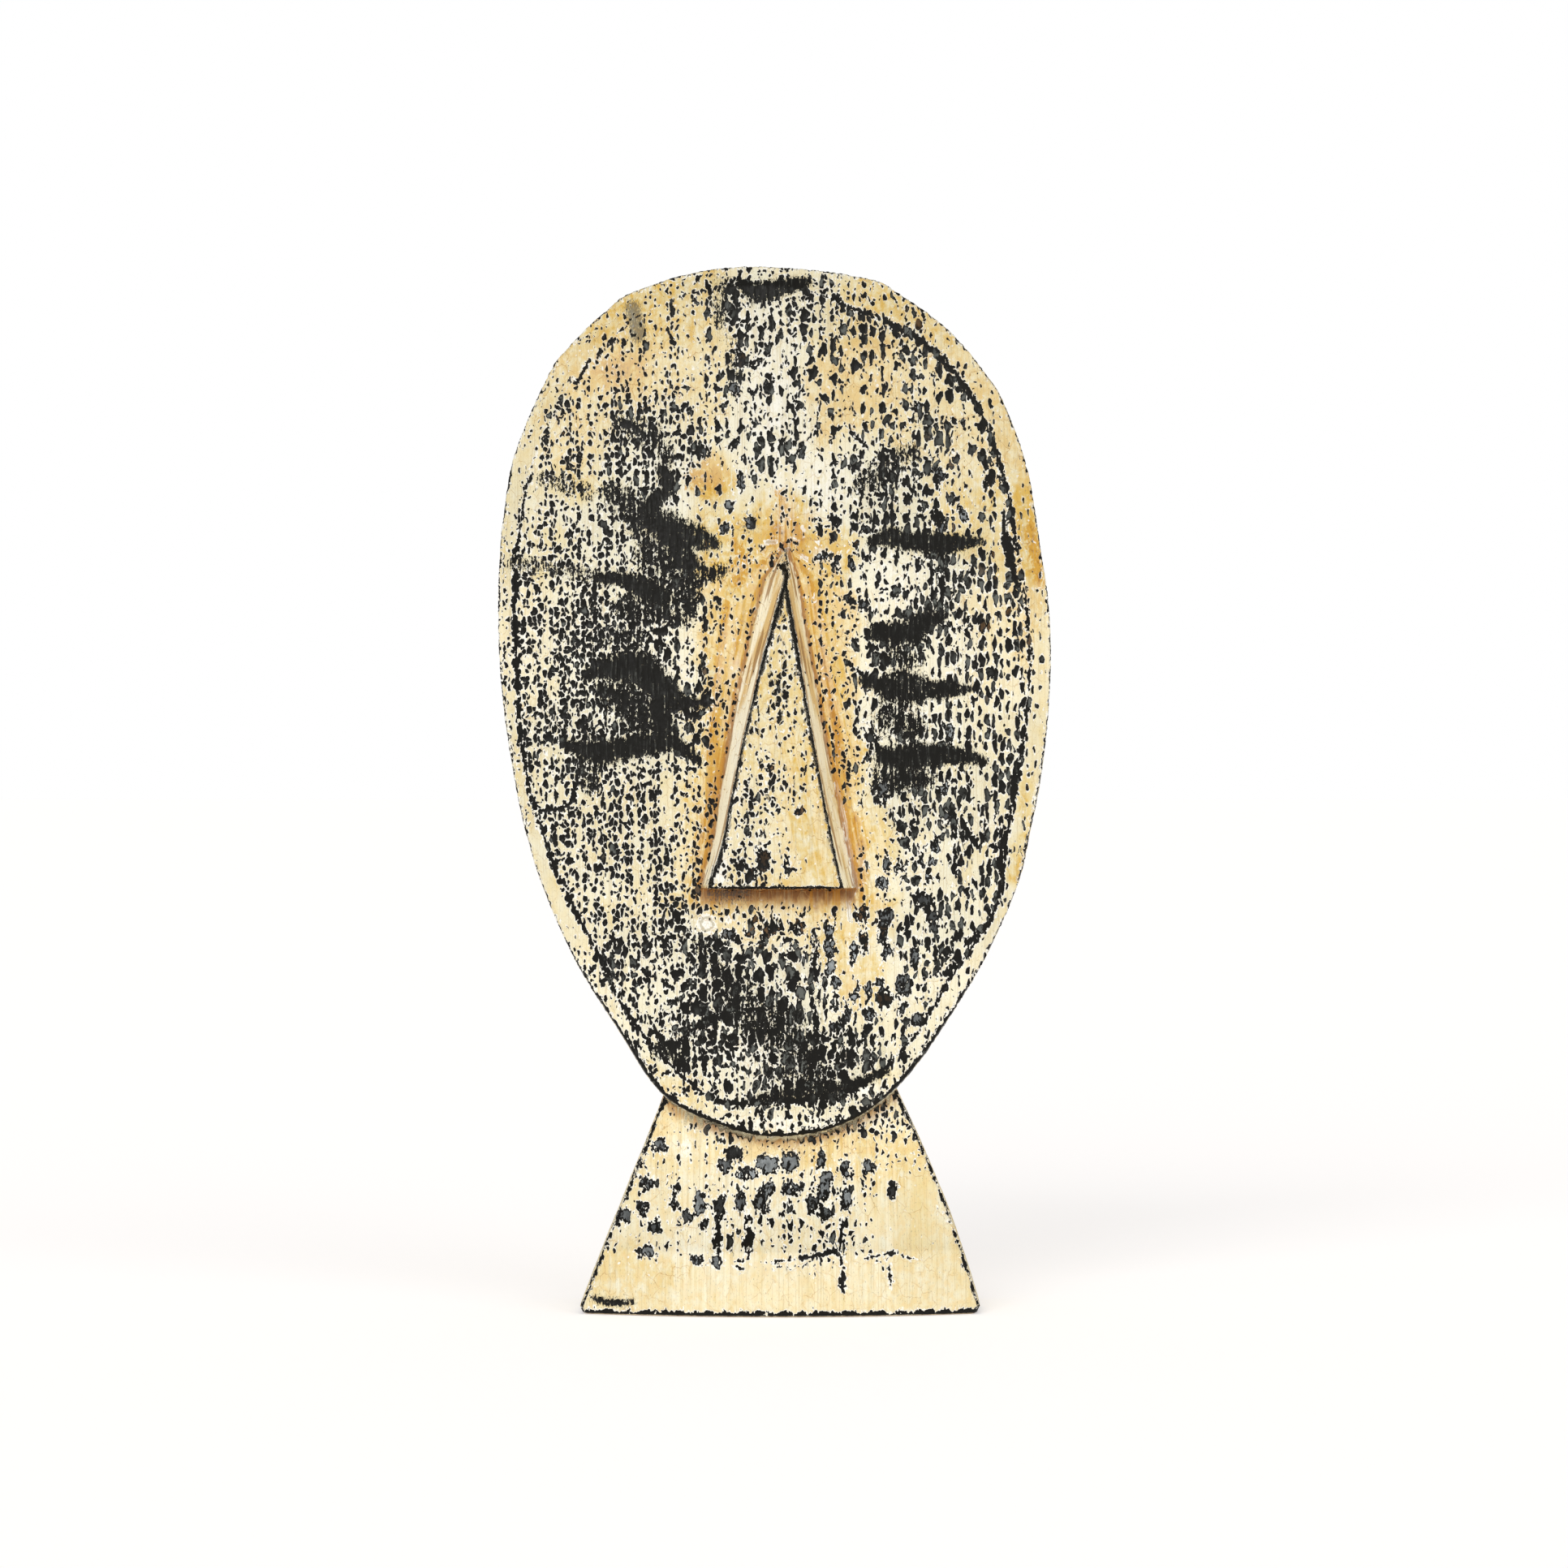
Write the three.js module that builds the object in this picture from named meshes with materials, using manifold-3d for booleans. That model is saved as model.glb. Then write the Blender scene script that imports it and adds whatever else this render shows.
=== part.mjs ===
// Carved wooden mask standing on its own flared foot: an egg-shaped face board with a bevelled rim,
// a long three-cornered nose in relief, and a trapezoid foot, all cut from one block of wood.
// Millimetres. +Z up, the face looks along -Y, +X is to the right of the picture.
// The origin is under the middle of the block, on the surface that the foot stands on.
import * as THREE from 'three';
import { mergeVertices } from 'three/addons/utils/BufferGeometryUtils.js';
import Module from 'manifold-3d';

// ---------- driving dimensions ----------

// Outline of the face board: a super-ellipse about its own centre, with unlike upper and lower halves.
const FACE_CENTRE_X = -0.1;
const FACE_CENTRE_Z = 255.4;
const FACE_HALF_WIDTH = 106.1;
const FACE_HEIGHT_UP = 144.4;      // centre to crown
const FACE_HEIGHT_DOWN = 190.8;    // centre to chin
const FACE_POWER_UP = 2.462;       // fuller than an ellipse above
const FACE_POWER_DOWN = 1.897;     // leaner than an ellipse below
const FACE_LEAN = -0.019;          // sideways drift of the axis for each millimetre of height

// Where the knife left the outline fuller or leaner than that curve: [direction, spread, height], degrees and mm.
const HAND_CUT = [
  [-161.0, 19.8, -0.7], [-114.1, 12.2, -1.5], [-104.9, 5.7, 4.1], [-89.1, 5.5, -1.2], [-64.5, 7.6, -1.8],
  [-44.5, 5.8, 1.3], [2.0, 54.6, 0.8], [22.1, 11.7, -1.9], [47.5, 3.2, 0.5], [59.5, 17.4, -0.8],
  [72.3, 3.1, 1.3], [83.9, 4.2, -0.5], [112.6, 2.5, 0.9], [127.1, 3.1, 0.8], [144.6, 5.5, 0.8],
];

// Thickness of the face board.
const FRONT_Y = -24.0;             // front surface in the middle of the face
const BACK_Y = 17.0;               // flat back
const CROWN_ACROSS = 11.0;         // how far the front falls back towards each side
const CROWN_UPRIGHT = 6.0;         // how far it falls back towards crown and chin
const RIM_DROP = 3.6;              // extra fall over the bevelled rim
const RIM_ROUND = 1.2;             // small round on the front edge
const BACK_BEVEL = [5.0, 4.5];     // bevel round the back: inwards, and in thickness

// Width of the bevelled rim at the four sides of the face.
const RIM_RIGHT = 8.0, RIM_LEFT = 6.0, RIM_TOP = 12.0, RIM_CHIN = 10.0;

// Nose: a drafted wedge, three-cornered from the front and cut square below.
const NOSE_BOTTOM_Z = 161.5;
const NOSE_APEX_Z = 279.0;         // where the two front arrises meet
const NOSE_ROOT_Z = 292.5;         // where the ridge above the apex runs out into the face
const NOSE_APEX_X = 4.7;
const NOSE_BOTTOM_LEFT = -20.8, NOSE_BOTTOM_RIGHT = 26.7;
const NOSE_LEFT_POWER = 1.35, NOSE_RIGHT_POWER = 0.88; // how the two arrises bow
const NOSE_LEFT_FLARE = 4.0;       // the left corner is drawn out at the very bottom
const NOSE_FLARE_HEIGHT = 26.0;
const NOSE_WALL_LEFT = [8.2, 3.4]; // foot of each side wall beyond its arris, above and below
const NOSE_WALL_RIGHT = [4.6, 5.2];
const NOSE_RELIEF = [11.0, 13.4];  // height off the face at the apex and at the bottom
const NOSE_STEPS = 14;

// Foot: flared both ways, rounded across the front, upright round its base.
const FOOT_TOP_Z = 106.0;          // runs up inside the chin
const FOOT_NECK_Z = 84.8;          // where the neck meets the outline of the face
const NECK_LEFT = -41.5, NECK_RIGHT = 47.4;
const FOOT_LEFT = -75.2, FOOT_RIGHT = 80.2;
const FOOT_RIGHT_BULGE = 2.4;      // the right edge is slightly full
const FOOT_BAND_Z = 24.6;          // top of the upright band
const FOOT_FLARE_TOP_Z = 68.0;     // the flare dies into the neck here
const FOOT_FRONT_Y = -38.0, FOOT_FRONT_CORNER_Y = -27.0;
const NECK_FRONT_Y = -8.0, NECK_FRONT_CORNER_Y = -3.5;
const FOOT_BACK_Y = 38.0, FOOT_BACK_CORNER_Y = 34.0;
const NECK_BACK_Y = 16.0, NECK_BACK_CORNER_Y = 15.0;
const FOOT_EDGE_BEVEL = 2.4;       // worn bevel round the underside
const FOOT_CORNER = 3.0;           // cut of the upright corners

const AROUND = 120;                // points round the face board
const FACE_RINGS = 13;             // rings over the front of the face

// ---------- helpers ----------

const DEG = Math.PI / 180;
const lerp = (a, b, t) => a + (b - a) * t;
const clamp01 = (t) => Math.min(1, Math.max(0, t));

// Closed body from rings of points, each ring running the same way, with a fan over each end.
function loft(rings, firstTip, lastTip) {
  const n = rings[0].length;
  const position = [];
  for (const ring of rings) for (const p of ring) position.push(p.x, p.y, p.z);
  const tipA = rings.length * n, tipB = tipA + 1;
  position.push(firstTip.x, firstTip.y, firstTip.z, lastTip.x, lastTip.y, lastTip.z);
  const index = [];
  for (let r = 0; r + 1 < rings.length; r++) {
    for (let i = 0; i < n; i++) {
      const j = (i + 1) % n;
      const a = r * n + i, b = r * n + j, c = a + n, d = b + n;
      index.push(a, b, d, a, d, c);
    }
  }
  const last = (rings.length - 1) * n;
  for (let i = 0; i < n; i++) {
    const j = (i + 1) % n;
    index.push(tipA, j, i);
    index.push(tipB, last + i, last + j);
  }
  const geometry = new THREE.BufferGeometry();
  geometry.setAttribute('position', new THREE.Float32BufferAttribute(position, 3));
  geometry.setIndex(index);
  return geometry;
}

// Volume inside the faces: positive when they point outwards.
function signedVolume(geometry) {
  const p = geometry.attributes.position, ix = geometry.index;
  const a = new THREE.Vector3(), b = new THREE.Vector3(), c = new THREE.Vector3();
  let sum = 0;
  for (let t = 0; t < ix.count; t += 3) {
    a.fromBufferAttribute(p, ix.getX(t));
    b.fromBufferAttribute(p, ix.getX(t + 1));
    c.fromBufferAttribute(p, ix.getX(t + 2));
    sum += a.dot(b.cross(c));
  }
  return sum / 6;
}

function pointedOut(geometry) {
  if (signedVolume(geometry) < 0) {
    const ix = geometry.index;
    for (let t = 0; t < ix.count; t += 3) {
      const b = ix.getX(t + 1);
      ix.setX(t + 1, ix.getX(t + 2));
      ix.setX(t + 2, b);
    }
  }
  return geometry;
}

// ---------- face board ----------

// Distance from the face's centre to its outline in direction angle (radians, 0 to the right, up positive).
function outlineRadius(angle) {
  const up = Math.sin(angle) > 0;
  const height = up ? FACE_HEIGHT_UP : FACE_HEIGHT_DOWN;
  const power = up ? FACE_POWER_UP : FACE_POWER_DOWN;
  const c = Math.abs(Math.cos(angle)) / FACE_HALF_WIDTH;
  const s = Math.abs(Math.sin(angle)) / height;
  let radius = Math.pow(Math.pow(c, power) + Math.pow(s, power), -1 / power);
  for (const [direction, spread, rise] of HAND_CUT) {
    const off = ((angle / DEG - direction + 540) % 360) - 180;
    radius += rise * Math.exp(-Math.pow(off / spread, 2));
  }
  return radius;
}

// A point of the face plane at an angle and a distance from the centre: [x, z].
function facePoint(angle, radius) {
  const dz = radius * Math.sin(angle);
  return [FACE_CENTRE_X + radius * Math.cos(angle) + FACE_LEAN * dz, FACE_CENTRE_Z + dz];
}

// The swelling front surface.
function frontY(x, z) {
  const u = (x - FACE_CENTRE_X) / FACE_HALF_WIDTH;
  const dz = z - FACE_CENTRE_Z;
  const v = dz / (dz > 0 ? FACE_HEIGHT_UP : FACE_HEIGHT_DOWN);
  return FRONT_Y + CROWN_ACROSS * u * u + CROWN_UPRIGHT * v * v;
}

function rimWidth(angle) {
  const mean = (RIM_RIGHT + RIM_LEFT + RIM_TOP + RIM_CHIN) / 4;
  return mean
    + (RIM_RIGHT - RIM_LEFT) / 2 * Math.cos(angle)
    + (RIM_TOP - RIM_CHIN) / 2 * Math.sin(angle)
    + (RIM_RIGHT + RIM_LEFT - RIM_TOP - RIM_CHIN) / 4 * Math.cos(2 * angle);
}

function faceBoard() {
  // [inset from the outline, depth] for each ring, from the back to the start of the front surface
  const profile = [
    (a, edge) => [BACK_BEVEL[0], BACK_Y],
    (a, edge) => [0, BACK_Y - BACK_BEVEL[1]],
    (a, edge) => [0, lerp(BACK_Y - BACK_BEVEL[1], edge + RIM_ROUND, 0.5)],
    (a, edge) => [0, edge + RIM_ROUND],
    (a, edge) => [RIM_ROUND, edge],
  ];
  const rings = profile.map(() => []);
  const front = [];
  for (let k = 0; k < FACE_RINGS; k++) front.push([]);
  for (let i = 0; i < AROUND; i++) {
    const angle = 2 * Math.PI * i / AROUND;
    const outer = outlineRadius(angle);
    const [xo, zo] = facePoint(angle, outer);
    const edge = frontY(xo, zo) + RIM_DROP;
    profile.forEach((step, k) => {
      const [inset, y] = step(angle, edge);
      const [x, z] = facePoint(angle, outer - inset);
      rings[k].push(new THREE.Vector3(x, y, z));
    });
    const inner = outer - rimWidth(angle);
    for (let k = 0; k < FACE_RINGS; k++) {
      const [x, z] = facePoint(angle, inner * (1 - k / FACE_RINGS));
      front[k].push(new THREE.Vector3(x, frontY(x, z), z));
    }
  }
  const back = new THREE.Vector3(FACE_CENTRE_X, BACK_Y, FACE_CENTRE_Z);
  const middle = new THREE.Vector3(FACE_CENTRE_X, frontY(FACE_CENTRE_X, FACE_CENTRE_Z), FACE_CENTRE_Z);
  return pointedOut(loft([...rings, ...front], back, middle));
}

// ---------- nose ----------

// One level slice of the nose: the two feet buried in the board and the two front arrises.
function noseSlice(z) {
  const t = clamp01((z - NOSE_BOTTOM_Z) / (NOSE_APEX_Z - NOSE_BOTTOM_Z));
  const flare = NOSE_LEFT_FLARE * Math.pow(1 - clamp01((z - NOSE_BOTTOM_Z) / NOSE_FLARE_HEIGHT), 2);
  const left = lerp(NOSE_BOTTOM_LEFT, NOSE_APEX_X, Math.pow(t, NOSE_LEFT_POWER)) - flare;
  const right = lerp(NOSE_BOTTOM_RIGHT, NOSE_APEX_X, Math.pow(t, NOSE_RIGHT_POWER));
  // above the apex the single ridge sinks back to the face
  const fade = z > NOSE_APEX_Z ? clamp01((NOSE_ROOT_Z - z) / (NOSE_ROOT_Z - NOSE_APEX_Z)) : 1;
  const relief = lerp(NOSE_RELIEF[1], NOSE_RELIEF[0], t) * fade;
  const wallLeft = lerp(NOSE_WALL_LEFT[1], NOSE_WALL_LEFT[0], t) * fade;
  const wallRight = lerp(NOSE_WALL_RIGHT[1], NOSE_WALL_RIGHT[0], t) * fade;
  const face = frontY((left + right) / 2, z);
  const half = z >= NOSE_APEX_Z ? 0.35 : 0;       // the ridge keeps a hair of width
  const bury = 5;                                  // how far the feet run on into the board
  const draftL = wallLeft / Math.max(relief, 0.5), draftR = wallRight / Math.max(relief, 0.5);
  return [
    new THREE.Vector3(left - half - wallLeft - draftL * bury, face + bury, z),
    new THREE.Vector3(left - half, face - relief, z),
    new THREE.Vector3(right + half, face - relief, z),
    new THREE.Vector3(right + half + wallRight + draftR * bury, face + bury, z),
  ];
}

function nose() {
  const slices = [];
  for (let k = 0; k <= NOSE_STEPS; k++) {
    slices.push(noseSlice(lerp(NOSE_BOTTOM_Z, NOSE_APEX_Z, k / NOSE_STEPS)));
  }
  slices.push(noseSlice(lerp(NOSE_APEX_Z, NOSE_ROOT_Z, 0.5)));
  slices.push(noseSlice(NOSE_ROOT_Z - 0.2));
  const centre = (s) => s.reduce((m, p) => m.add(p), new THREE.Vector3()).multiplyScalar(1 / s.length);
  return pointedOut(loft(slices, centre(slices[0]), centre(slices[slices.length - 1])));
}

// ---------- foot ----------

// Left and right edges of the foot at a height.
function footSides(z) {
  const t = (FOOT_NECK_Z - z) / FOOT_NECK_Z;
  const left = lerp(NECK_LEFT, FOOT_LEFT, t);
  const right = lerp(NECK_RIGHT, FOOT_RIGHT, t) + (t > 0 ? FOOT_RIGHT_BULGE * Math.sin(Math.PI * Math.min(1, t)) : 0);
  return [left, right];
}

// Depths at a height: front middle, front corners, back middle, back corners.
function footDepths(z) {
  const t = clamp01((z - FOOT_BAND_Z) / (FOOT_FLARE_TOP_Z - FOOT_BAND_Z));
  const sweep = Math.pow(1 - t, 1.7);
  return [
    lerp(NECK_FRONT_Y, FOOT_FRONT_Y, sweep), lerp(NECK_FRONT_CORNER_Y, FOOT_FRONT_CORNER_Y, sweep),
    lerp(NECK_BACK_Y, FOOT_BACK_Y, sweep), lerp(NECK_BACK_CORNER_Y, FOOT_BACK_CORNER_Y, sweep),
  ];
}

// Outline of the foot seen from above, pulled in by inset.
function footSection(z, inset, steps = 20) {
  const [left, right] = footSides(z);
  const [front, frontCorner, back, backCorner] = footDepths(z);
  const mid = (left + right) / 2, half = (right - left) / 2 - inset;
  const c = FOOT_CORNER;
  const ring = [];
  for (let i = 0; i <= steps; i++) {               // along the front, left to right
    const u = lerp(-1, 1, i / steps);
    ring.push(new THREE.Vector3(mid + u * (half - c), front + inset + (frontCorner - front) * u * u, z));
  }
  ring.push(new THREE.Vector3(mid + half, frontCorner + inset + c, z));
  ring.push(new THREE.Vector3(mid + half, lerp(frontCorner + inset + c, backCorner - inset - c, 0.5), z));
  ring.push(new THREE.Vector3(mid + half, backCorner - inset - c, z));
  for (let i = 0; i <= steps; i++) {               // along the back, right to left
    const u = lerp(1, -1, i / steps);
    ring.push(new THREE.Vector3(mid + u * (half - c), back - inset + (backCorner - back) * u * u, z));
  }
  ring.push(new THREE.Vector3(mid - half, backCorner - inset - c, z));
  ring.push(new THREE.Vector3(mid - half, lerp(frontCorner + inset + c, backCorner - inset - c, 0.5), z));
  ring.push(new THREE.Vector3(mid - half, frontCorner + inset + c, z));
  return ring;
}

function foot() {
  const rings = [footSection(0, FOOT_EDGE_BEVEL), footSection(FOOT_EDGE_BEVEL, 0)];
  for (const z of [9, 17, FOOT_BAND_Z]) rings.push(footSection(z, 0));
  const flareSteps = 8;
  for (let k = 1; k <= flareSteps; k++) rings.push(footSection(lerp(FOOT_BAND_Z, FOOT_FLARE_TOP_Z, k / flareSteps), 0));
  for (const z of [80, 93, FOOT_TOP_Z]) rings.push(footSection(z, 0));
  const tip = (ring) => {
    const box = new THREE.Box3().setFromPoints(ring);
    return box.getCenter(new THREE.Vector3());
  };
  return pointedOut(loft(rings, tip(rings[0]), tip(rings[rings.length - 1])));
}

// ---------- joining into one body ----------

const wasm = await Module();
wasm.setup();

function toManifold(geometry) {
  geometry.deleteAttribute('normal');
  geometry.deleteAttribute('uv');
  const merged = mergeVertices(geometry, 1e-4);
  const index = [];
  for (let t = 0; t < merged.index.count; t += 3) {
    const [a, b, c] = [merged.index.getX(t), merged.index.getX(t + 1), merged.index.getX(t + 2)];
    if (a !== b && b !== c && a !== c) index.push(a, b, c);
  }
  return new wasm.Manifold(new wasm.Mesh({
    numProp: 3,
    vertProperties: new Float32Array(merged.attributes.position.array),
    triVerts: new Uint32Array(index),
  }));
}

function toGeometry(solid) {
  const mesh = solid.getMesh();
  const geometry = new THREE.BufferGeometry();
  geometry.setAttribute('position', new THREE.Float32BufferAttribute(mesh.vertProperties, 3));
  geometry.setIndex(Array.from(mesh.triVerts));
  return geometry;
}

const block = toManifold(faceBoard()).add(toManifold(nose())).add(toManifold(foot()));
const geometry = toGeometry(block);

// stand the block on z = 0 with the middle of its box over the origin
geometry.computeBoundingBox();
const box = geometry.boundingBox;
geometry.translate(-(box.min.x + box.max.x) / 2, -(box.min.y + box.max.y) / 2, -box.min.z);

const paintedWood = new THREE.MeshStandardMaterial({ color: 0xe6d6a8, roughness: 0.62, metalness: 0 });

const carvedMask = new THREE.Mesh(geometry, paintedWood);
carvedMask.name = 'carved_mask';

const group = new THREE.Group();
group.add(carvedMask);

export default group;
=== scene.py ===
# Painted wooden mask on its own flared foot. One carved block under a worn coat of cream paint:
# black shows through as pits and scraped smears, amber has soaked in round the nose, and every arris is rubbed dark.
import math

import bmesh
import bpy
import numpy as np
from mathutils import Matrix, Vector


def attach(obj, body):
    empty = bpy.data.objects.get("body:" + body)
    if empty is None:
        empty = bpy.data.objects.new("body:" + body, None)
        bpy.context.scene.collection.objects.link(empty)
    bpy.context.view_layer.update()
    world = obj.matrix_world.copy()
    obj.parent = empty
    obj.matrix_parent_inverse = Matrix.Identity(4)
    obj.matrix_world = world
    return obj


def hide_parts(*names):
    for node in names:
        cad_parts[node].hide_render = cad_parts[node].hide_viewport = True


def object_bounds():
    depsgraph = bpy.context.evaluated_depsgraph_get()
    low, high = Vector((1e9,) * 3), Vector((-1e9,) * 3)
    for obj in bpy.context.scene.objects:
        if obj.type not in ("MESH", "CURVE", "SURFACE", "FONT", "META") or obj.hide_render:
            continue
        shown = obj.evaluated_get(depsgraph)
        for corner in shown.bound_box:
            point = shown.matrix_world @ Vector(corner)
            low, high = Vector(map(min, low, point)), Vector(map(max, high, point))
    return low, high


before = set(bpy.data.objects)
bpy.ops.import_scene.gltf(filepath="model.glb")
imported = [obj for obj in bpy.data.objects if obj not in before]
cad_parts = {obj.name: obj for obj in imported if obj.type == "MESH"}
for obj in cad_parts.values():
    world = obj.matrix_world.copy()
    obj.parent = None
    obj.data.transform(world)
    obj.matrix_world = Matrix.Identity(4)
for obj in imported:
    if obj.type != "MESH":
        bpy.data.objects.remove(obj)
cad_low, cad_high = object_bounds()

MM = 0.001

# ---------------------------------------------------------------- sizes of the block, millimetres

FACE_X, FACE_Z = -0.1, 255.4
HALF_WIDTH, HEIGHT_UP, HEIGHT_DOWN = 106.1, 144.4, 190.8
POWER_UP, POWER_DOWN, LEAN = 2.462, 1.897, -0.019
HAND_CUT = [
    (-161.0, 19.8, -0.7), (-114.1, 12.2, -1.5), (-104.9, 5.7, 4.1), (-89.1, 5.5, -1.2), (-64.5, 7.6, -1.8),
    (-44.5, 5.8, 1.3), (2.0, 54.6, 0.8), (22.1, 11.7, -1.9), (47.5, 3.2, 0.5), (59.5, 17.4, -0.8),
    (72.3, 3.1, 1.3), (83.9, 4.2, -0.5), (112.6, 2.5, 0.9), (127.1, 3.1, 0.8), (144.6, 5.5, 0.8),
]
FRONT_Y, BACK_Y = -24.0, 17.0
CROWN_ACROSS, CROWN_UPRIGHT = 11.0, 6.0
RIM_DROP, RIM_ROUND, BACK_BEVEL_IN, BACK_BEVEL_DEEP = 3.6, 1.2, 5.0, 4.5
INSIDE = 0.15  # the paint's outer skin stays this far inside the block

# width of the bevelled rim by direction round the face, degrees (0 is to the right, 90 up)
RIM_WIDTHS = [
    (-176, 7.4), (-157, 5.7), (-145, 6.6), (-132, 9.2), (-121, 11.6), (-113, 8.4), (-105, 13.5), (-98, 9.4),
    (-90, 15.4), (-82, 11.8), (-72, 9.9), (-62, 9.8), (-52, 5.4), (-42, 10.3), (-31, 10.1), (-18, 9.3),
    (-6, 8.6), (6, 9.4), (19, 9.2), (31, 11.1), (43, 11.3), (55, 10.6), (65, 11.4), (74, 14.2), (85, 8.2),
    (100, 8.4), (114, 10.4), (125, 10.7), (144, 9.0), (163, 7.2),
]
# half-width of the dark rubbed line along the rim's inner arris, by direction
ARRIS_LINE = [
    (-180, 1.1), (-165, 0.8), (-150, 0.5), (-132, 0.7), (-120, 0.7), (-105, 0.5), (-92, 1.0), (-82, 1.2),
    (-72, 0.5), (-58, 0.7), (-46, 1.2), (-38, 0.7), (-29, 0.9), (-22, 0.6), (-12, 0.5), (0, 0.45), (20, 0.5),
    (34, 0.9), (45, 1.1), (60, 1.25), (74, 0.9), (84, -0.3), (96, -0.6), (112, -0.5), (135, -0.3), (150, 0.0), (165, 0.8),
]

# how much of the pitting reaches the bevelled rim, by direction
RIM_PITTING = [
    (-175, 0.45), (-150, 0.25), (-135, 0.12), (-120, 0.30), (-100, 0.75), (-82, 1.00), (-72, 0.60), (-60, 0.35), (-40, 0.30),
    (-15, 0.35), (0, 0.25), (25, 0.22), (45, 0.35), (65, 0.5), (90, 0.55), (115, 0.5), (140, 0.5), (165, 0.45),
]

NOSE_BOTTOM, NOSE_APEX, NOSE_ROOT, NOSE_APEX_X = 161.5, 279.0, 292.5, 4.7
NOSE_LEFT, NOSE_RIGHT, NOSE_LEFT_POWER, NOSE_RIGHT_POWER = -20.8, 26.7, 1.35, 0.88
NOSE_FLARE, NOSE_FLARE_HEIGHT = 4.0, 26.0
WALL_LEFT, WALL_RIGHT, RELIEF = (3.4, 8.2), (5.2, 4.6), (13.4, 11.0)  # each (below, above)

FOOT_TOP, FOOT_NECK, FOOT_BAND, FLARE_TOP = 106.0, 84.8, 24.6, 68.0
NECK_LEFT, NECK_RIGHT, FOOT_LEFT, FOOT_RIGHT, RIGHT_BULGE = -41.5, 47.4, -75.2, 80.2, 2.4
FOOT_BEVEL, FOOT_CORNER = 2.4, 3.0

# ---------------------------------------------------------------- where the eye of the picture stands

EYE = (4.039, -1800.0, 201.465)
STEP = 0.310696  # millimetres to one step of the 1932-step frame, at the depth below
STEP_DEPTH = -12.0


def seen_at(x, y, z):
    """Place in the 1932-step frame of a point in millimetres."""
    k = (y - EYE[1]) / (STEP_DEPTH - EYE[1]) * STEP
    return 966 + (x - EYE[0]) / k, 966 - (z - EYE[2]) / k


# ---------------------------------------------------------------- curves of the block


def clamp(v, low=0.0, high=1.0):
    return np.minimum(high, np.maximum(low, v))


def smooth(v, low, high):
    t = clamp((v - low) / (high - low))
    return t * t * (3 - 2 * t)


def lerp(a, b, t):
    return a + (b - a) * t


def outline_exact(angle):
    up = np.sin(angle) > 0
    height, power = np.where(up, HEIGHT_UP, HEIGHT_DOWN), np.where(up, POWER_UP, POWER_DOWN)
    radius = ((np.abs(np.cos(angle)) / HALF_WIDTH) ** power + (np.abs(np.sin(angle)) / height) ** power) ** (-1 / power)
    for direction, spread, rise in HAND_CUT:
        off = (np.degrees(angle) - direction + 540) % 360 - 180
        radius = radius + rise * np.exp(-((off / spread) ** 2))
    return radius


def around(table, blur):
    """A table of (degrees, value) as a smooth closed curve with one value per quarter degree."""
    turn = np.arange(-180, 180, 0.25)
    at, value = zip(*sorted(table))
    rough = np.interp(turn, at, value, period=360)
    reach = int(blur * 4 * 3)
    kernel = np.exp(-((np.arange(-reach, reach + 1) / (blur * 4)) ** 2))
    return turn, np.convolve(np.concatenate([rough[-reach:], rough, rough[:reach]]), kernel / kernel.sum(), "valid")


TURN = np.arange(-180, 180, 0.25)
OUTLINE = outline_exact(np.radians(TURN))
RIM = around(RIM_WIDTHS, 2.0)[1]
LINE = around(ARRIS_LINE, 3.0)[1]
RIM_SHARE = around(RIM_PITTING, 4.0)[1]
SLOPE = np.gradient(np.concatenate([OUTLINE[-1:], OUTLINE, OUTLINE[:1]]), math.radians(0.25))[1:-1]


def by_turn(values, angle):
    return np.interp(np.degrees(angle), TURN, values, period=360)


def outline(angle):
    return by_turn(OUTLINE, angle)


def face_point(angle, radius):
    dz = radius * np.sin(angle)
    return FACE_X + radius * np.cos(angle) + LEAN * dz, FACE_Z + dz


def face_polar(x, z):
    dz = z - FACE_Z
    dx = x - FACE_X - LEAN * dz
    return np.arctan2(dz, dx), np.hypot(dx, dz)


def front(x, z):
    """The swelling front of the face board."""
    dz = z - FACE_Z
    v = dz / np.where(dz > 0, HEIGHT_UP, HEIGHT_DOWN)
    return FRONT_Y + CROWN_ACROSS * ((x - FACE_X) / HALF_WIDTH) ** 2 + CROWN_UPRIGHT * v * v


def nose_lines(z):
    """The two front arrises, the relief and the two wall widths at a height."""
    t = clamp((z - NOSE_BOTTOM) / (NOSE_APEX - NOSE_BOTTOM))
    flare = NOSE_FLARE * (1 - clamp((z - NOSE_BOTTOM) / NOSE_FLARE_HEIGHT)) ** 2
    left = lerp(NOSE_LEFT, NOSE_APEX_X, t**NOSE_LEFT_POWER) - flare
    right = lerp(NOSE_RIGHT, NOSE_APEX_X, t**NOSE_RIGHT_POWER)
    fade = np.where(z > NOSE_APEX, clamp((NOSE_ROOT - z) / (NOSE_ROOT - NOSE_APEX)), 1.0)
    return left, right, lerp(*RELIEF, t) * fade, lerp(*WALL_LEFT, t) * fade, lerp(*WALL_RIGHT, t) * fade


def foot_lines(z):
    """Left and right edges, front and back middles and corners of the foot at a height."""
    t = (FOOT_NECK - z) / FOOT_NECK
    left, right = lerp(NECK_LEFT, FOOT_LEFT, t), lerp(NECK_RIGHT, FOOT_RIGHT, t) + RIGHT_BULGE * np.sin(np.pi * clamp(t))
    sweep = (1 - clamp((z - FOOT_BAND) / (FLARE_TOP - FOOT_BAND))) ** 1.7
    return left, right, lerp(-8.0, -38.0, sweep), lerp(-3.5, -27.0, sweep), lerp(16.0, 38.0, sweep), lerp(15.0, 34.0, sweep)


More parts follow.
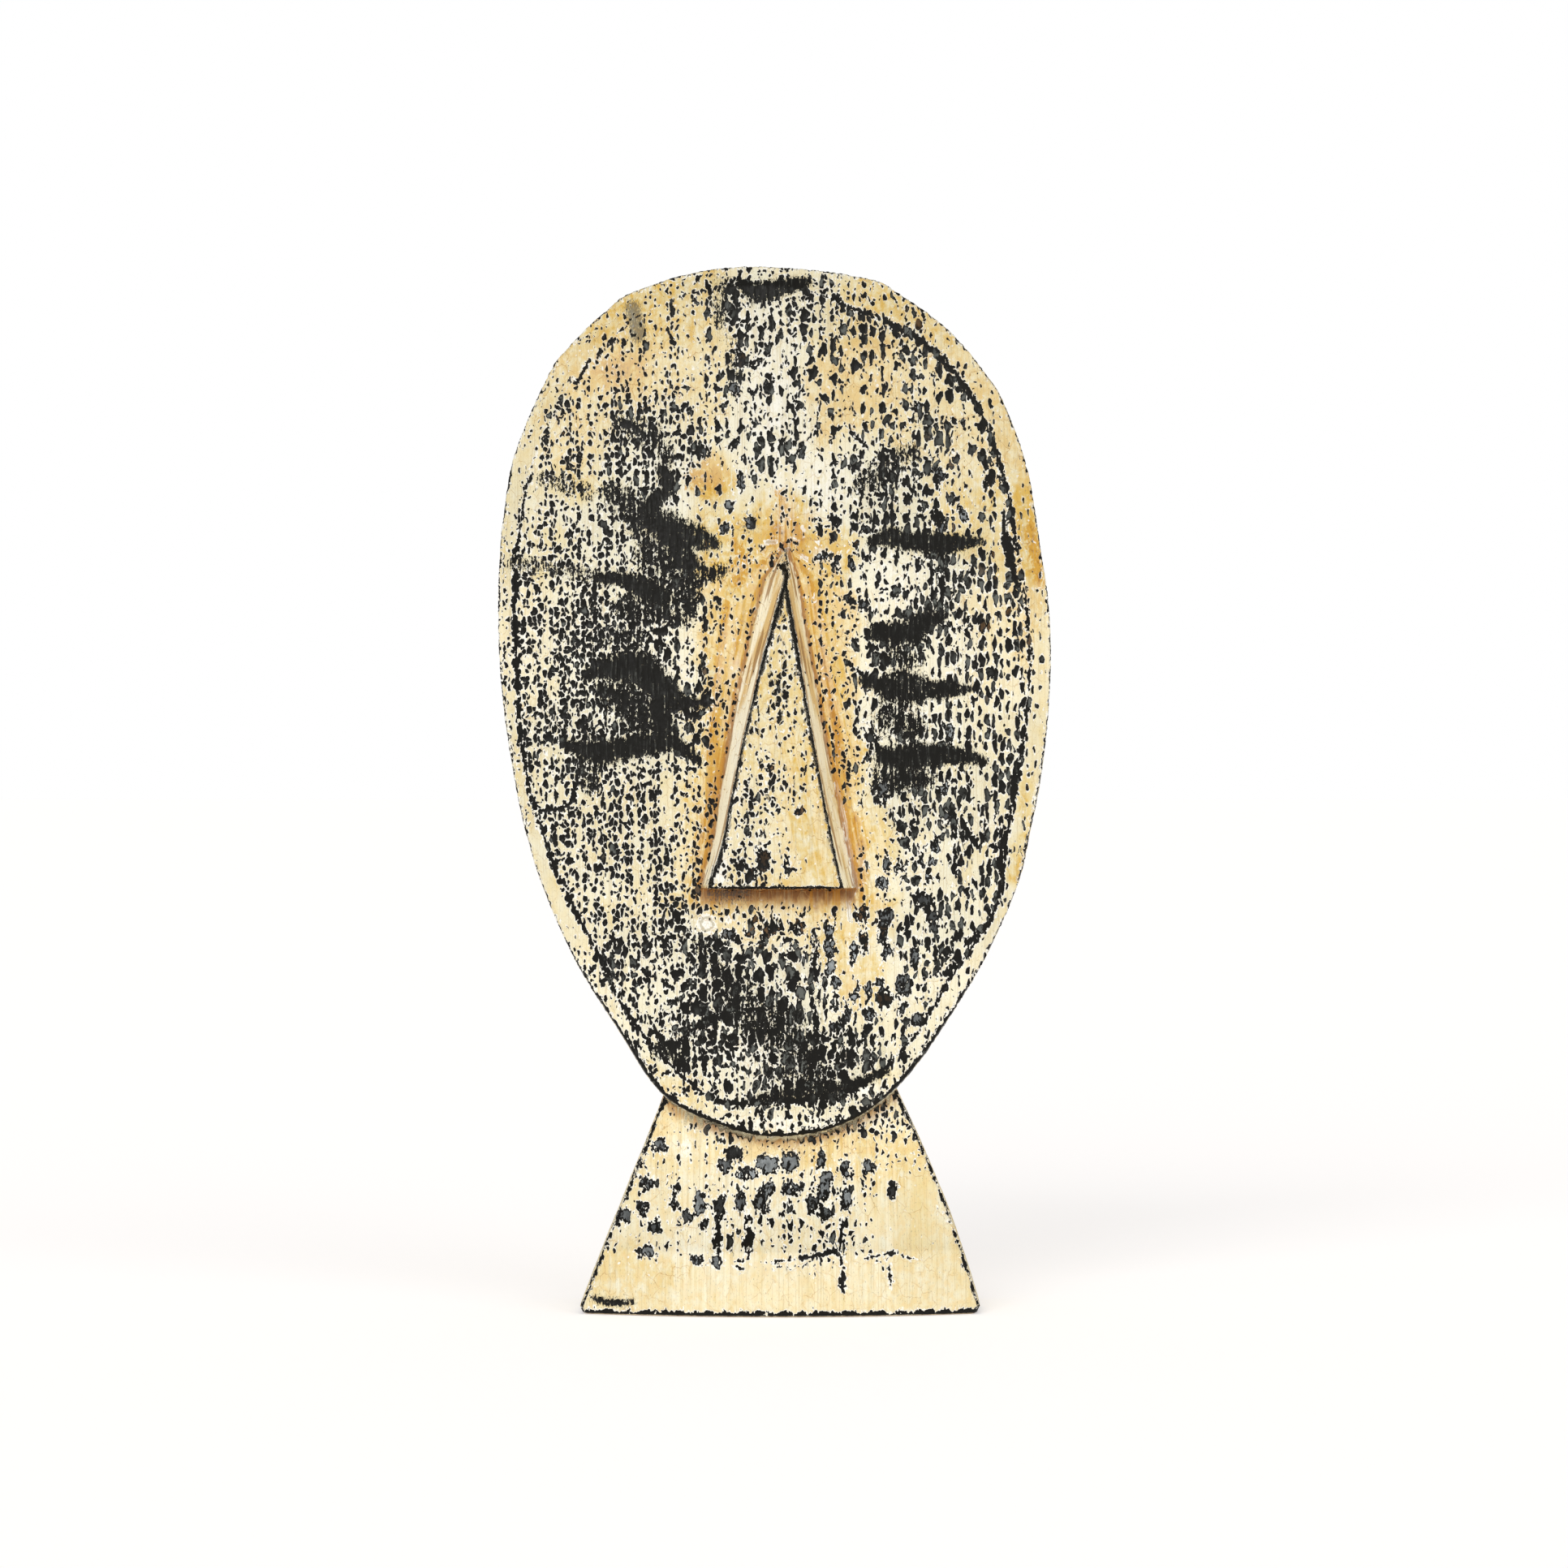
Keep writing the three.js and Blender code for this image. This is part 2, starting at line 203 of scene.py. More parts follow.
# ---------------------------------------------------------------- what the wear does where
# Places are in the 1932-step frame of the front view. Each entry is one named mark or area.

# Areas of pitting: name, centre, reach across and up, share of the paint gone, coarseness of the pits (0 fine, 1 coarse)
PITTING = [
    ("crown", 960, 365, 90, 40, 0.497, 0.4),
    ("crown right", 1090, 400, 60, 40, 0.500, 0.6),
    ("top left", 780, 430, 110, 60, 0.219, 0.4),
    ("forehead left", 700, 560, 60, 70, 0.189, 0.2),
    ("forehead", 880, 470, 50, 60, 0.265, 0.6),
    ("forehead middle", 960, 470, 50, 90, 0.359, 0.7),
    ("forehead right", 1060, 500, 60, 70, 0.246, 0.8),
    ("temple right", 1160, 500, 70, 70, 0.369, 0.95),
    ("brow left", 790, 545, 70, 50, 0.500, 0.35),
    ("brow centre left", 880, 600, 36, 60, 0.114, 0.7),
    ("root", 960, 660, 50, 60, 0.124, 0.4),
    ("brow right", 1110, 585, 60, 40, 0.671, 0.7),
    ("right of brow", 1180, 620, 50, 50, 0.140, 0.7),
    ("left cheek edge", 650, 760, 40, 110, 0.329, 0.0),
    ("left cheek high", 690, 680, 60, 50, 0.283, 0.1),
    ("left cheek", 720, 790, 70, 70, 0.639, 0.1),
    ("left cheek low", 730, 870, 70, 60, 0.630, 0.1),
    ("left cheek foot", 750, 1020, 80, 60, 0.419, 0.15),
    ("by nose left", 850, 800, 26, 90, 0.457, 0.5),
    ("by nose left low", 850, 1010, 30, 60, 0.211, 0.3),
    ("nose left wall", 905, 880, 22, 150, 0.153, 0.2),
    ("nose", 965, 830, 28, 110, 0.184, 0.12),
    ("nose lower", 940, 1040, 40, 60, 0.321, 0.3),
    ("nose lower right", 1010, 1040, 40, 60, 0.006, 0.3),
    ("by nose right", 1030, 840, 26, 160, 0.227, 0.5),
    ("beside nose right", 1060, 760, 30, 140, 0.297, 0.6),
    ("white patch right", 1100, 715, 36, 26, 0.165, 0.4),
    ("right cheek", 1180, 740, 60, 80, 0.597, 1.1),
    ("right cheek mid", 1150, 890, 60, 60, 0.301, 1.1),
    ("right cheek low", 1170, 1000, 60, 60, 0.479, 1.1),
    ("right cheek bare", 1090, 1060, 36, 50, 0.180, 0.4),
    ("right edge", 1235, 800, 30, 200, 0.296, 1.1),
    ("right lower edge", 1220, 1080, 30, 80, 0.212, 1.05),
    ("jaw left", 740, 1110, 60, 40, 0.263, 0.1),
    ("jaw left low", 810, 1180, 50, 40, 0.584, 0.2),
    ("under nose", 960, 1130, 60, 24, 0.262, 0.5),
    ("mouth left", 880, 1220, 50, 50, 0.683, 1.3),
    ("mouth", 960, 1220, 50, 60, 0.611, 1.3),
    ("mouth low", 980, 1310, 60, 50, 0.656, 1.3),
    ("mouth pale", 892, 1324, 34, 22, 0.186, 0.4),
    ("jaw right low", 1146, 1224, 24, 26, 0.198, 0.7),
    ("right of left cheek bar", 856, 786, 20, 28, 0.158, 0.5),
    ("left of brow", 745, 650, 24, 30, 0.514, 0.2),
    ("right arris", 1222, 575, 16, 26, 0.200, 0.6),
    ("above upper bar", 1150, 645, 26, 16, 0.620, 0.6),
    ("right cheek column", 1108, 1005, 14, 24, 0.697, 1.1),
    ("right cheek pale", 1142, 1048, 20, 24, 0.006, 0.6),
    ("right of root", 1036, 615, 22, 26, 0.236, 0.5),
    ("chin left upper", 786, 1226, 20, 20, 0.211, 0.2),
    ("right lower knot", 1216, 1078, 16, 18, 0.700, 1.05),
    ("jaw right corner", 1176, 1176, 16, 16, 0.750, 0.7),
    ("left upper edge", 676, 505, 16, 20, 0.702, 0.2),
    ("mouth right", 1060, 1210, 50, 50, 0.036, 0.9),
    ("jaw right", 1150, 1150, 50, 50, 0.380, 1.1),
    ("forehead bright right", 1002, 576, 16, 18, 0.091, 0.8),
    ("over the root, right", 1038, 612, 14, 14, 0.150, 0.7),
    ("right of root, near", 1036, 690, 15, 28, 0.030, 0.6),
    ("cheek clear", 1146, 1044, 15, 14, 0.060, 0.9),
    ("jaw clear", 1146, 1224, 14, 14, 0.080, 0.9),
    ("mouth clear", 1002, 1222, 14, 14, 0.120, 1.0),
    ("left rim clear", 714, 1044, 16, 14, 0.120, 0.2),
    ("jaw left clear", 786, 1224, 14, 14, 0.260, 0.4),
    ("left of brow arm", 750, 648, 15, 14, 0.760, 0.2),
    ("right of root, far", 1074, 646, 14, 14, 0.720, 0.7),
    ("brow right dense", 1146, 576, 15, 15, 0.740, 0.7),
    ("right cheek dense", 1146, 722, 15, 15, 0.560, 1.1),
    ("lower right dense", 1110, 1010, 15, 15, 0.660, 0.9),
    ("lower right edge dense", 1217, 1080, 13, 15, 0.560, 1.05),
    ("mouth net left", 878, 1296, 34, 22, 0.740, 0.3),
    ("mouth net right", 1052, 1284, 36, 20, 0.720, 1.08),
    ("left of mouth", 814, 1150, 24, 20, 0.664, 0.4),
    ("jaw left rim", 745, 1180, 16, 20, 0.847, 0.4),
    ("rim chin left", 832, 1376, 34, 24, 0.075, 0.5),
    ("rim chin right", 1006, 1392, 42, 12, 0.666, 0.5),
    ("mouth right low", 1070, 1294, 62, 16, 0.665, 0.9),
    ("temple far right", 1216, 580, 14, 34, 0.393, 1.05),
    ("upper left edge", 672, 500, 18, 26, 0.560, 0.3),
    ("chin right", 1110, 1260, 50, 50, 0.239, 0.7),
    ("chin left", 850, 1310, 40, 40, 0.585, 0.4),
    ("rim chin", 960, 1386, 90, 18, 0.379, 0.6),
    ("neck", 960, 1425, 110, 26, 0.118, 0.5),
    ("foot upper", 950, 1475, 80, 30, 0.182, 0.6),
    ("foot left", 830, 1500, 60, 40, 0.139, 0.5),
    ("foot middle", 1000, 1530, 60, 20, 0.223, 0.6),
    ("foot right", 1150, 1520, 70, 50, 0.041, 0.3),
    ("foot band", 960, 1590, 240, 32, 0.005, 0.3),
]

# Scraped smears: name, spine as (across, down, half-width), strength
SMEARS = [
    ("left brow column", [(814, 579, 5), (823, 592, 8), (822, 606, 7), (810, 614, 8), (800, 628, 13)], 1.1),
    ("left brow body", [(800, 640, 14), (820, 650, 20), (838, 660, 16), (858, 662, 14), (872, 668, 8), (884, 671, 3)], 1.08),
    ("left brow core", [(832, 672, 16), (848, 694, 14)], 1.0),
    ("left brow arm", [(752, 606, 10), (774, 622, 16), (788, 645, 14)], 0.80),
    ("left brow lower bar", [(738, 712, 4), (770, 713, 6), (786, 722, 11), (804, 730, 14), (818, 738, 9)], 1.1),
    ("left brow knee", [(850, 698, 9), (853, 722, 9), (850, 746, 7), (850, 756, 3)], 0.86),
    ("left brow tail right", [(864, 706, 7), (878, 706, 5), (892, 703, 2)], 0.80),
    ("left brow fall", [(802, 680, 20), (822, 695, 18)], 0.74),
    ("left brow link", [(812, 734, 11), (842, 730, 10)], 0.78),
    ("left brow under", [(770, 748, 12), (792, 752, 12), (845, 758, 10)], 0.72),
    ("left brow loose", [(764, 522, 8), (796, 532, 14), (820, 560, 12)], 0.60),
    ("left temple streak", [(668, 590, 4), (700, 598, 6), (726, 607, 6)], 0.50),
    ("left cheek tail", [(632, 694, 5), (680, 699, 5), (730, 709, 6)], 0.55),
    ("left cheek bar", [(722, 832, 3), (742, 824, 10), (768, 823, 18), (794, 826, 20), (810, 842, 18), (824, 856, 15), (838, 866, 9), (852, 866, 4), (872, 868, 2)], 1.12),
    ("left cheek crown", [(740, 786, 8), (768, 782, 12), (788, 787, 8)], 0.55),
    ("left cheek fall", [(746, 850, 12), (774, 862, 22), (790, 886, 24)], 0.84),
    ("left cheek link", [(812, 870, 14), (818, 898, 13)], 1.0),
    ("left cheek lower bar", [(698, 918, 3), (722, 925, 9), (745, 928, 12), (770, 922, 11), (800, 917, 11), (830, 914, 8), (848, 926, 4), (862, 938, 2)], 1.12),
    ("left cheek drip", [(722, 948, 12), (728, 968, 7)], 0.72),
    ("right brow loose", [(1062, 600, 10), (1092, 575, 14), (1125, 558, 9)], 0.62),
    ("right upper bar", [(1072, 668, 3), (1086, 664, 7), (1098, 662, 11), (1118, 668, 8), (1142, 668, 10), (1160, 671, 12), (1178, 669, 9), (1207, 667, 3)], 1.08),
    ("right middle bar", [(1079, 779, 9), (1097, 780, 10), (1112, 778, 12), (1124, 777, 16), (1140, 765, 9), (1164, 758, 4)], 1.06),
    ("right middle fall", [(1100, 804, 14), (1124, 812, 16)], 0.60),
    ("right third bar", [(1062, 838, 3), (1085, 845, 7), (1098, 848, 16), (1112, 846, 21), (1128, 848, 17), (1144, 850, 9), (1165, 850, 9), (1194, 849, 3)], 1.08),
    ("right third fall", [(1098, 884, 22), (1124, 896, 18)], 0.74),
    ("right fourth bar", [(1086, 932, 9), (1110, 936, 14), (1130, 933, 16), (1150, 930, 12), (1176, 930, 8), (1200, 934, 6), (1211, 938, 3)], 1.12),
    ("right fourth fall", [(1086, 962, 12), (1110, 960, 16), (1140, 958, 10)], 0.84),
    ("crown bar", [(914, 351, 4), (930, 360, 10), (950, 358, 10), (975, 351, 7), (996, 347, 3)], 1.06),
    ("crown grey", [(896, 350, 5), (891, 370, 6), (887, 396, 4)], 0.46),
    ("forehead column", [(902, 420, 5), (904, 455, 5), (903, 482, 3)], 0.40),
    ("mouth upper left", [(862, 1164, 5), (896, 1214, 13), (918, 1230, 18)], 0.54),
    ("mouth mass", [(925, 1262, 14), (955, 1268, 18), (984, 1282, 22), (996, 1304, 18)], 0.68),
    ("mouth stripes", [(852, 1280, 8), (880, 1266, 12), (915, 1268, 12)], 0.16),
    ("mouth lip", [(829, 1291, 4), (844, 1275, 4), (875, 1254, 4), (905, 1242, 5), (945, 1244, 7), (985, 1252, 5)], 0.62),
    ("mouth column", [(1003, 1155, 3), (1004, 1200, 3), (1003, 1310, 6)], 0.40),
    ("mouth scratched", [(965, 1324, 12), (1000, 1326, 14), (1030, 1330, 9)], 0.46),
    ("mouth lower bar", [(936, 1352, 2.5), (985, 1346, 4.5), (1030, 1341, 4), (1066, 1331, 4), (1092, 1320, 2.5)], 1.0),
    ("foot low mark", [(731, 1599, 1), (744, 1604, 2), (768, 1606, 2), (779, 1604, 1)], 1.0),
    ("chin knot", [(812, 1296, 6), (826, 1294, 8), (840, 1308, 5)], 0.85),
]

# Smoky dark breath on the paint, and a darker place just under the nose's left corner: name, spine, strength
SMOKE = [
    ("under the nose's left corner", [(874, 1103, 4), (898, 1103, 5), (920, 1100, 2)], 0.9),
    ("crown", [(886, 350, 10), (890, 400, 8)], 0.42),
    ("left of crown bar", [(903, 440, 7), (903, 480, 5)], 0.34),
    ("temple right", [(1128, 500, 5), (1135, 520, 4)], 0.35),
    ("top left mark", [(780, 380, 7), (787, 412, 7)], 1.15),
    ("star", [(925, 645, 8), (921, 650, 7)], 0.5),
    ("mouth", [(900, 1215, 26), (985, 1300, 40)], 0.35),
]

# Thin worn lines: name, spine, half-width
RUBBED = [
    ("right drip inner", [(1147, 680, 2.0), (1149, 752, 1.4)]),
    ("right drip outer", [(1160, 676, 3.0), (1161, 756, 2.0)]),
    ("left column", [(733, 716, 2.4), (734, 790, 2.0)]),
    ("left column inner", [(811, 756, 2.6), (813, 800, 2.8)]),
    ("mouth corner left", [(828, 1294, 4.4), (812, 1276, 3.6), (800, 1268, 2.6)]),
    ("lip scratch", [(829, 1291, 3.6), (844, 1275, 3.2), (875, 1254, 3.0), (905, 1243, 2.6), (950, 1244, 1.6)]),
    ("chin scratch", [(1003, 1146, 2.4), (1007, 1168, 0.6), (1003, 1188, 2.8), (1008, 1215, 1.8)]),
    ("chin scratch low", [(1004, 1240, 1.0), (1008, 1275, 3.4), (1002, 1318, 2.8)]),
    ("right rim thick", [(1236, 632, 1.4), (1240, 664, 5.6), (1246, 696, 5.0), (1253, 722, 3.2)]),
    ("temple column", [(1213, 556, 2.4), (1216, 585, 3.0), (1214, 608, 1.4)]),
    ("temple column right", [(1227, 552, 1.8), (1231, 590, 2.6)]),
    ("foot drop a", [(884, 1508, 2.4), (884, 1545, 1.4)]),
    ("foot drop b", [(926, 1505, 2.4), (922, 1552, 1.2)]),
    ("foot drop c", [(1038, 1500, 2.6), (1034, 1545, 1.6)]),
    ("foot drop d", [(1098, 1585, 2.0), (1096, 1560, 1.2)]),
    ("lower right rim a", [(1252, 938, 3.6), (1250, 960, 4.2), (1247, 985, 3.2)]),
    ("lower right rim c", [(1222, 1043, 3.0), (1234, 1045, 4.4), (1238, 1028, 2.4)]),
    ("lower right rim d", [(1234, 1050, 4.4), (1234, 1074, 4.0), (1236, 1092, 2.0)]),
    ("lower right rim e", [(1225, 1126, 3.4), (1210, 1146, 3.2), (1190, 1165, 3.6)]),
    ("lower right column", [(1175, 1000, 1.6), (1178, 1030, 2.4), (1175, 1050, 0.8), (1177, 1078, 2.0)]),
    ("lower right blot", [(1186, 1012, 3.0), (1194, 1030, 4.4), (1206, 1044, 3.0)]),
    ("chin column", [(1146, 1122, 3.6), (1152, 1146, 4.0)]),
    ("left arris a", [(757, 418, 2.4), (750, 426, 2.6)]),
    ("left arris b", [(741, 430, 1.8), (737, 440, 2.0)]),
    ("left arris c", [(725, 444, 1.8), (711, 474, 2.4)]),
    ("foot crack", [(940, 1556, 0.3), (968, 1553, 1.0), (984, 1552, 0.3), (998, 1549, 2.8), (1030, 1541, 2.4), (1040, 1548, 0.6)]),
    ("foot crack right", [(1064, 1551, 0.2), (1086, 1546, 1.0), (1104, 1543, 2.6), (1118, 1550, 0.4), (1136, 1552, 0.6)]),
    ("foot crack fall", [(1034, 1540, 2.2), (1038, 1560, 2.2), (1038, 1580, 3.0), (1040, 1592, 2.2)]),
    ("foot crack left", [(905, 1560, 1.6), (915, 1563, 1.6)]),
    ("nose corner left", [(875, 1089, 2.6), (885, 1064, 3.0), (894, 1040, 1.6)]),
    ("nose apex chip", [(961, 697, 2.6), (967, 701, 4.6), (969, 712, 2.6), (966, 722, 2.2)]),
    ("nose apex line", [(962, 671, 0.8), (968, 680, 1.6), (970, 694, 1.4)]),
    ("nose apex left", [(951, 686, 1.4), (953, 696, 1.8), (952, 704, 0.8)]),
    ("root tick right", [(974, 665, 1.2), (981, 670, 1.8)]),
    ("root tick left", [(939, 677, 1.4), (943, 673, 1.6)]),
    ("temple tick", [(1043, 525, 1.2), (1056, 540, 2.6), (1068, 552, 1.2)]),
    ("cheek tail", [(1043, 815, 1.6), (1056, 826, 2.6), (1068, 840, 2.0)]),
    ("left cheek hook", [(862, 866, 2.0), (874, 862, 1.8), (884, 870, 1.2)]),
    ("left loop", [(664, 1000, 1.4), (690, 998, 2.2), (706, 988, 3.0), (712, 960, 2.0)]),
]

# Single large pits: name, centre, reach across and up, what shows in them (1 pale grey, partly a painted reflection of
# the soft light in the glossy pit, 0 black, -1 brown)
SINGLE = [
    ("lip a", 1022, 1158, 7, 21, 0.9), ("lip b", 1024, 1193, 7, 9, 1.0), ("lip c", 1028, 1211, 8, 9, 0.7),
    ("lip d", 1052, 1174, 5, 15, 1.3), ("lip e", 1064, 1159, 5, 13, -0.6), ("lip f", 1088, 1148, 6, 14, -0.3),
    ("lip g", 1092, 1172, 6, 9, 0.7), ("lip h", 1127, 1178, 6, 14, 0.6), ("lip i", 1113, 1213, 11, 13, 0.4),
    ("lip j", 1085, 1210, 5, 7, 0.6), ("lip k", 1071, 1223, 5, 10, 0.7), ("lip l", 1055, 1228, 5, 11, 1.1),
    ("lip m", 1030, 1234, 6, 9, 0.3), ("lip n", 1089, 1230, 9, 13, -0.2), ("lip o", 1072, 1252, 8, 9, 1.1),
    ("lip p", 1043, 1249, 6, 9, 0.4), ("lip q", 1031, 1265, 8, 6, 0.4), ("lip r", 1112, 1240, 6, 6, 0.5),
    ("lip s", 1130, 1257, 7, 9, 0.5), ("lip t", 896, 1152, 9, 7, 0.5), ("lip u", 925, 1148, 6, 7, -1.0),
    ("lip v", 943, 1145, 4, 12, -1.0), ("lip w", 954, 1142, 6, 9, -1.0), ("lip x", 986, 1144, 7, 8, -0.8),
    ("lip y", 1064, 1124, 8, 8, -0.9), ("lip z", 1150, 1134, 7, 16, 0.2),
    ("foot a", 812, 1412, 9, 10, 0.6), ("foot b", 797, 1457, 8, 9, 0.6), ("foot c", 904, 1421, 12, 9, 0.0),
    ("foot d", 893, 1436, 9, 9, 0.4), ("foot e", 945, 1434, 15, 13, 0.9), ("foot f", 922, 1446, 14, 7, 1.6),
    ("foot g", 974, 1432, 12, 12, 0.8), ("foot h", 1012, 1431, 6, 14, 0.6), ("foot i", 1017, 1462, 8, 22, 0.7),
    ("foot j", 1043, 1440, 6, 13, 0.6), ("foot k", 1070, 1437, 8, 8, 0.6), ("foot l", 1042, 1477, 7, 14, 1.0),
    ("foot m", 862, 1483, 9, 14, 0.9), ("foot n", 912, 1480, 7, 13, 0.4), ("foot o", 938, 1482, 8, 16, 0.5),
    ("foot p", 977, 1465, 11, 9, 0.6), ("foot q", 1001, 1482, 9, 12, 0.3), ("foot r", 886, 1488, 8, 17, 0.1),
    ("foot s", 793, 1490, 7, 9, 0.6), ("foot t", 772, 1498, 7, 10, 0.4), ("foot u", 808, 1511, 7, 9, 0.3),
    ("foot v", 884, 1524, 5, 20, 0.0), ("foot w", 923, 1522, 6, 20, 0.0), ("foot x", 802, 1541, 7, 7, 0.8),
    ("foot y", 858, 1554, 8, 7, 0.8), ("foot z", 883, 1556, 8, 7, 0.5), ("foot low", 790, 1543, 6, 7, 0.9),
    ("foot small", 846, 1500, 5, 9, 0.3), ("foot small low", 868, 1508, 5, 8, 0.2), ("foot small over", 830, 1478, 5, 10, 0.4),
    ("foot side", 1100, 1466, 5, 11, 0.1), ("foot right", 1018, 1495, 7, 9, 0.4), ("foot high", 948, 1463, 7, 9, 0.7),
    ("brow a", 868, 556, 8, 9, 0.2), ("brow b", 905, 546, 6, 8, 0.6), ("brow c", 912, 590, 5, 12, 0.5),
    ("brow d", 898, 624, 5, 9, 0.7), ("brow e", 893, 650, 6, 8, 0.4), ("brow f", 923, 645, 7, 7, 0.7),
    ("root right", 1013, 685, 8, 8, 1.3), ("root low right", 1030, 692, 5, 7, 0.2), ("root star", 925, 645, 6, 7, 0.1),
    ("root over", 964, 638, 3, 6, 0.2), ("brow right a", 1028, 642, 7, 7, 0.0), ("right of root", 1050, 694, 4, 7, 0.5),
    ("jaw a", 1137, 1109, 11, 9, 0.2), ("jaw b", 1091, 1132, 8, 12, 0.5), ("jaw c", 1088, 1088, 8, 8, 1.0),
    ("jaw d", 1093, 1062, 5, 9, 0.6), ("jaw e", 1107, 1071, 7, 5, 0.8), ("jaw f", 1136, 1055, 4, 10, 0.9),
    ("jaw g", 1152, 1042, 7, 9, 1.0), ("jaw h", 1149, 1062, 6, 6, 0.9), ("jaw i", 1142, 1082, 5, 5, 1.6),
    ("jaw j", 1062, 1126, 9, 9, -0.8), ("cheek d", 1165, 1007, 10, 7, 0.3), ("cheek e", 1163, 973, 7, 8, 1.2),
    ("cheek f", 1088, 975, 8, 15, 0.6), ("cheek g", 1168, 900, 6, 13, 1.0), ("cheek h", 1073, 910, 7, 14, 0.1), ("temple a", 1131, 503, 7, 7, 0.9), ("temple b", 1187, 633, 6, 9, 0.9),
    ("temple c", 1157, 590, 6, 12, 0.5), ("temple d", 1161, 647, 6, 9, 0.5), ("cheek a", 1105, 730, 6, 7, 0.4),
    ("cheek b", 1065, 747, 6, 6, 0.4), ("cheek c", 1067, 652, 8, 5, 0.2), ("nose a", 949, 950, 5, 7, -0.8),
    ("nose b", 985, 1000, 6, 6, -0.9), ("nose c", 940, 1060, 8, 14, -0.3), ("nose d", 970, 1068, 4, 9, 0.1), ("nose e", 925, 1079, 6, 10, -0.2), ("nose f", 914, 1066, 4, 9, 0.0),
    ("forehead a", 912, 440, 7, 12, -0.2), ("forehead b", 905, 478, 7, 7, 0.5), ("forehead c", 930, 448, 7, 7, 0.2),
    ("forehead d", 948, 470, 6, 8, 0.3), ("forehead e", 962, 548, 6, 8, 0.3), ("forehead f", 985, 560, 6, 7, 0.2),
]

# Paint that stands up in a thick edge: name, spine, half-width, height in millimetres
RAISED = [
    ("chisel lip right of nose", [(1030, 965, 3.0), (1038, 1000, 3.8), (1045, 1040, 4.4), (1052, 1075, 4.8), (1054, 1092, 4.8), (1046, 1112, 4.8), (1047, 1136, 3.0)], 0.60),
    ("drop below nose", [(870, 1138, 17.0), (871, 1139, 17.0)], 0.7),
    ("small drop below nose", [(897, 1133, 6.0), (898, 1134, 6.0)], 0.4),
    ("root white left", [(944, 668, 5.5), (956, 668, 4.5)], 0.45),
    ("root white under", [(958, 677, 3.0), (972, 677, 4.0)], 0.40),
    ("root white right", [(975, 661, 3.0), (984, 667, 2.6)], 0.30),
    ("root drop a", [(989, 651, 5.0), (991, 652, 5.0)], 0.30),
    ("root drop b", [(988, 686, 5.0), (994, 690, 4.0)], 0.35),
    ("root drop c", [(1007, 667, 4.6), (1009, 670, 4.6)], 0.30),
    ("root drop d", [(927, 690, 3.6), (928, 691, 3.6)], 0.30),
    ("drip beside root", [(1002, 733, 2.6), (1003, 742, 2.6)], 0.25),
]

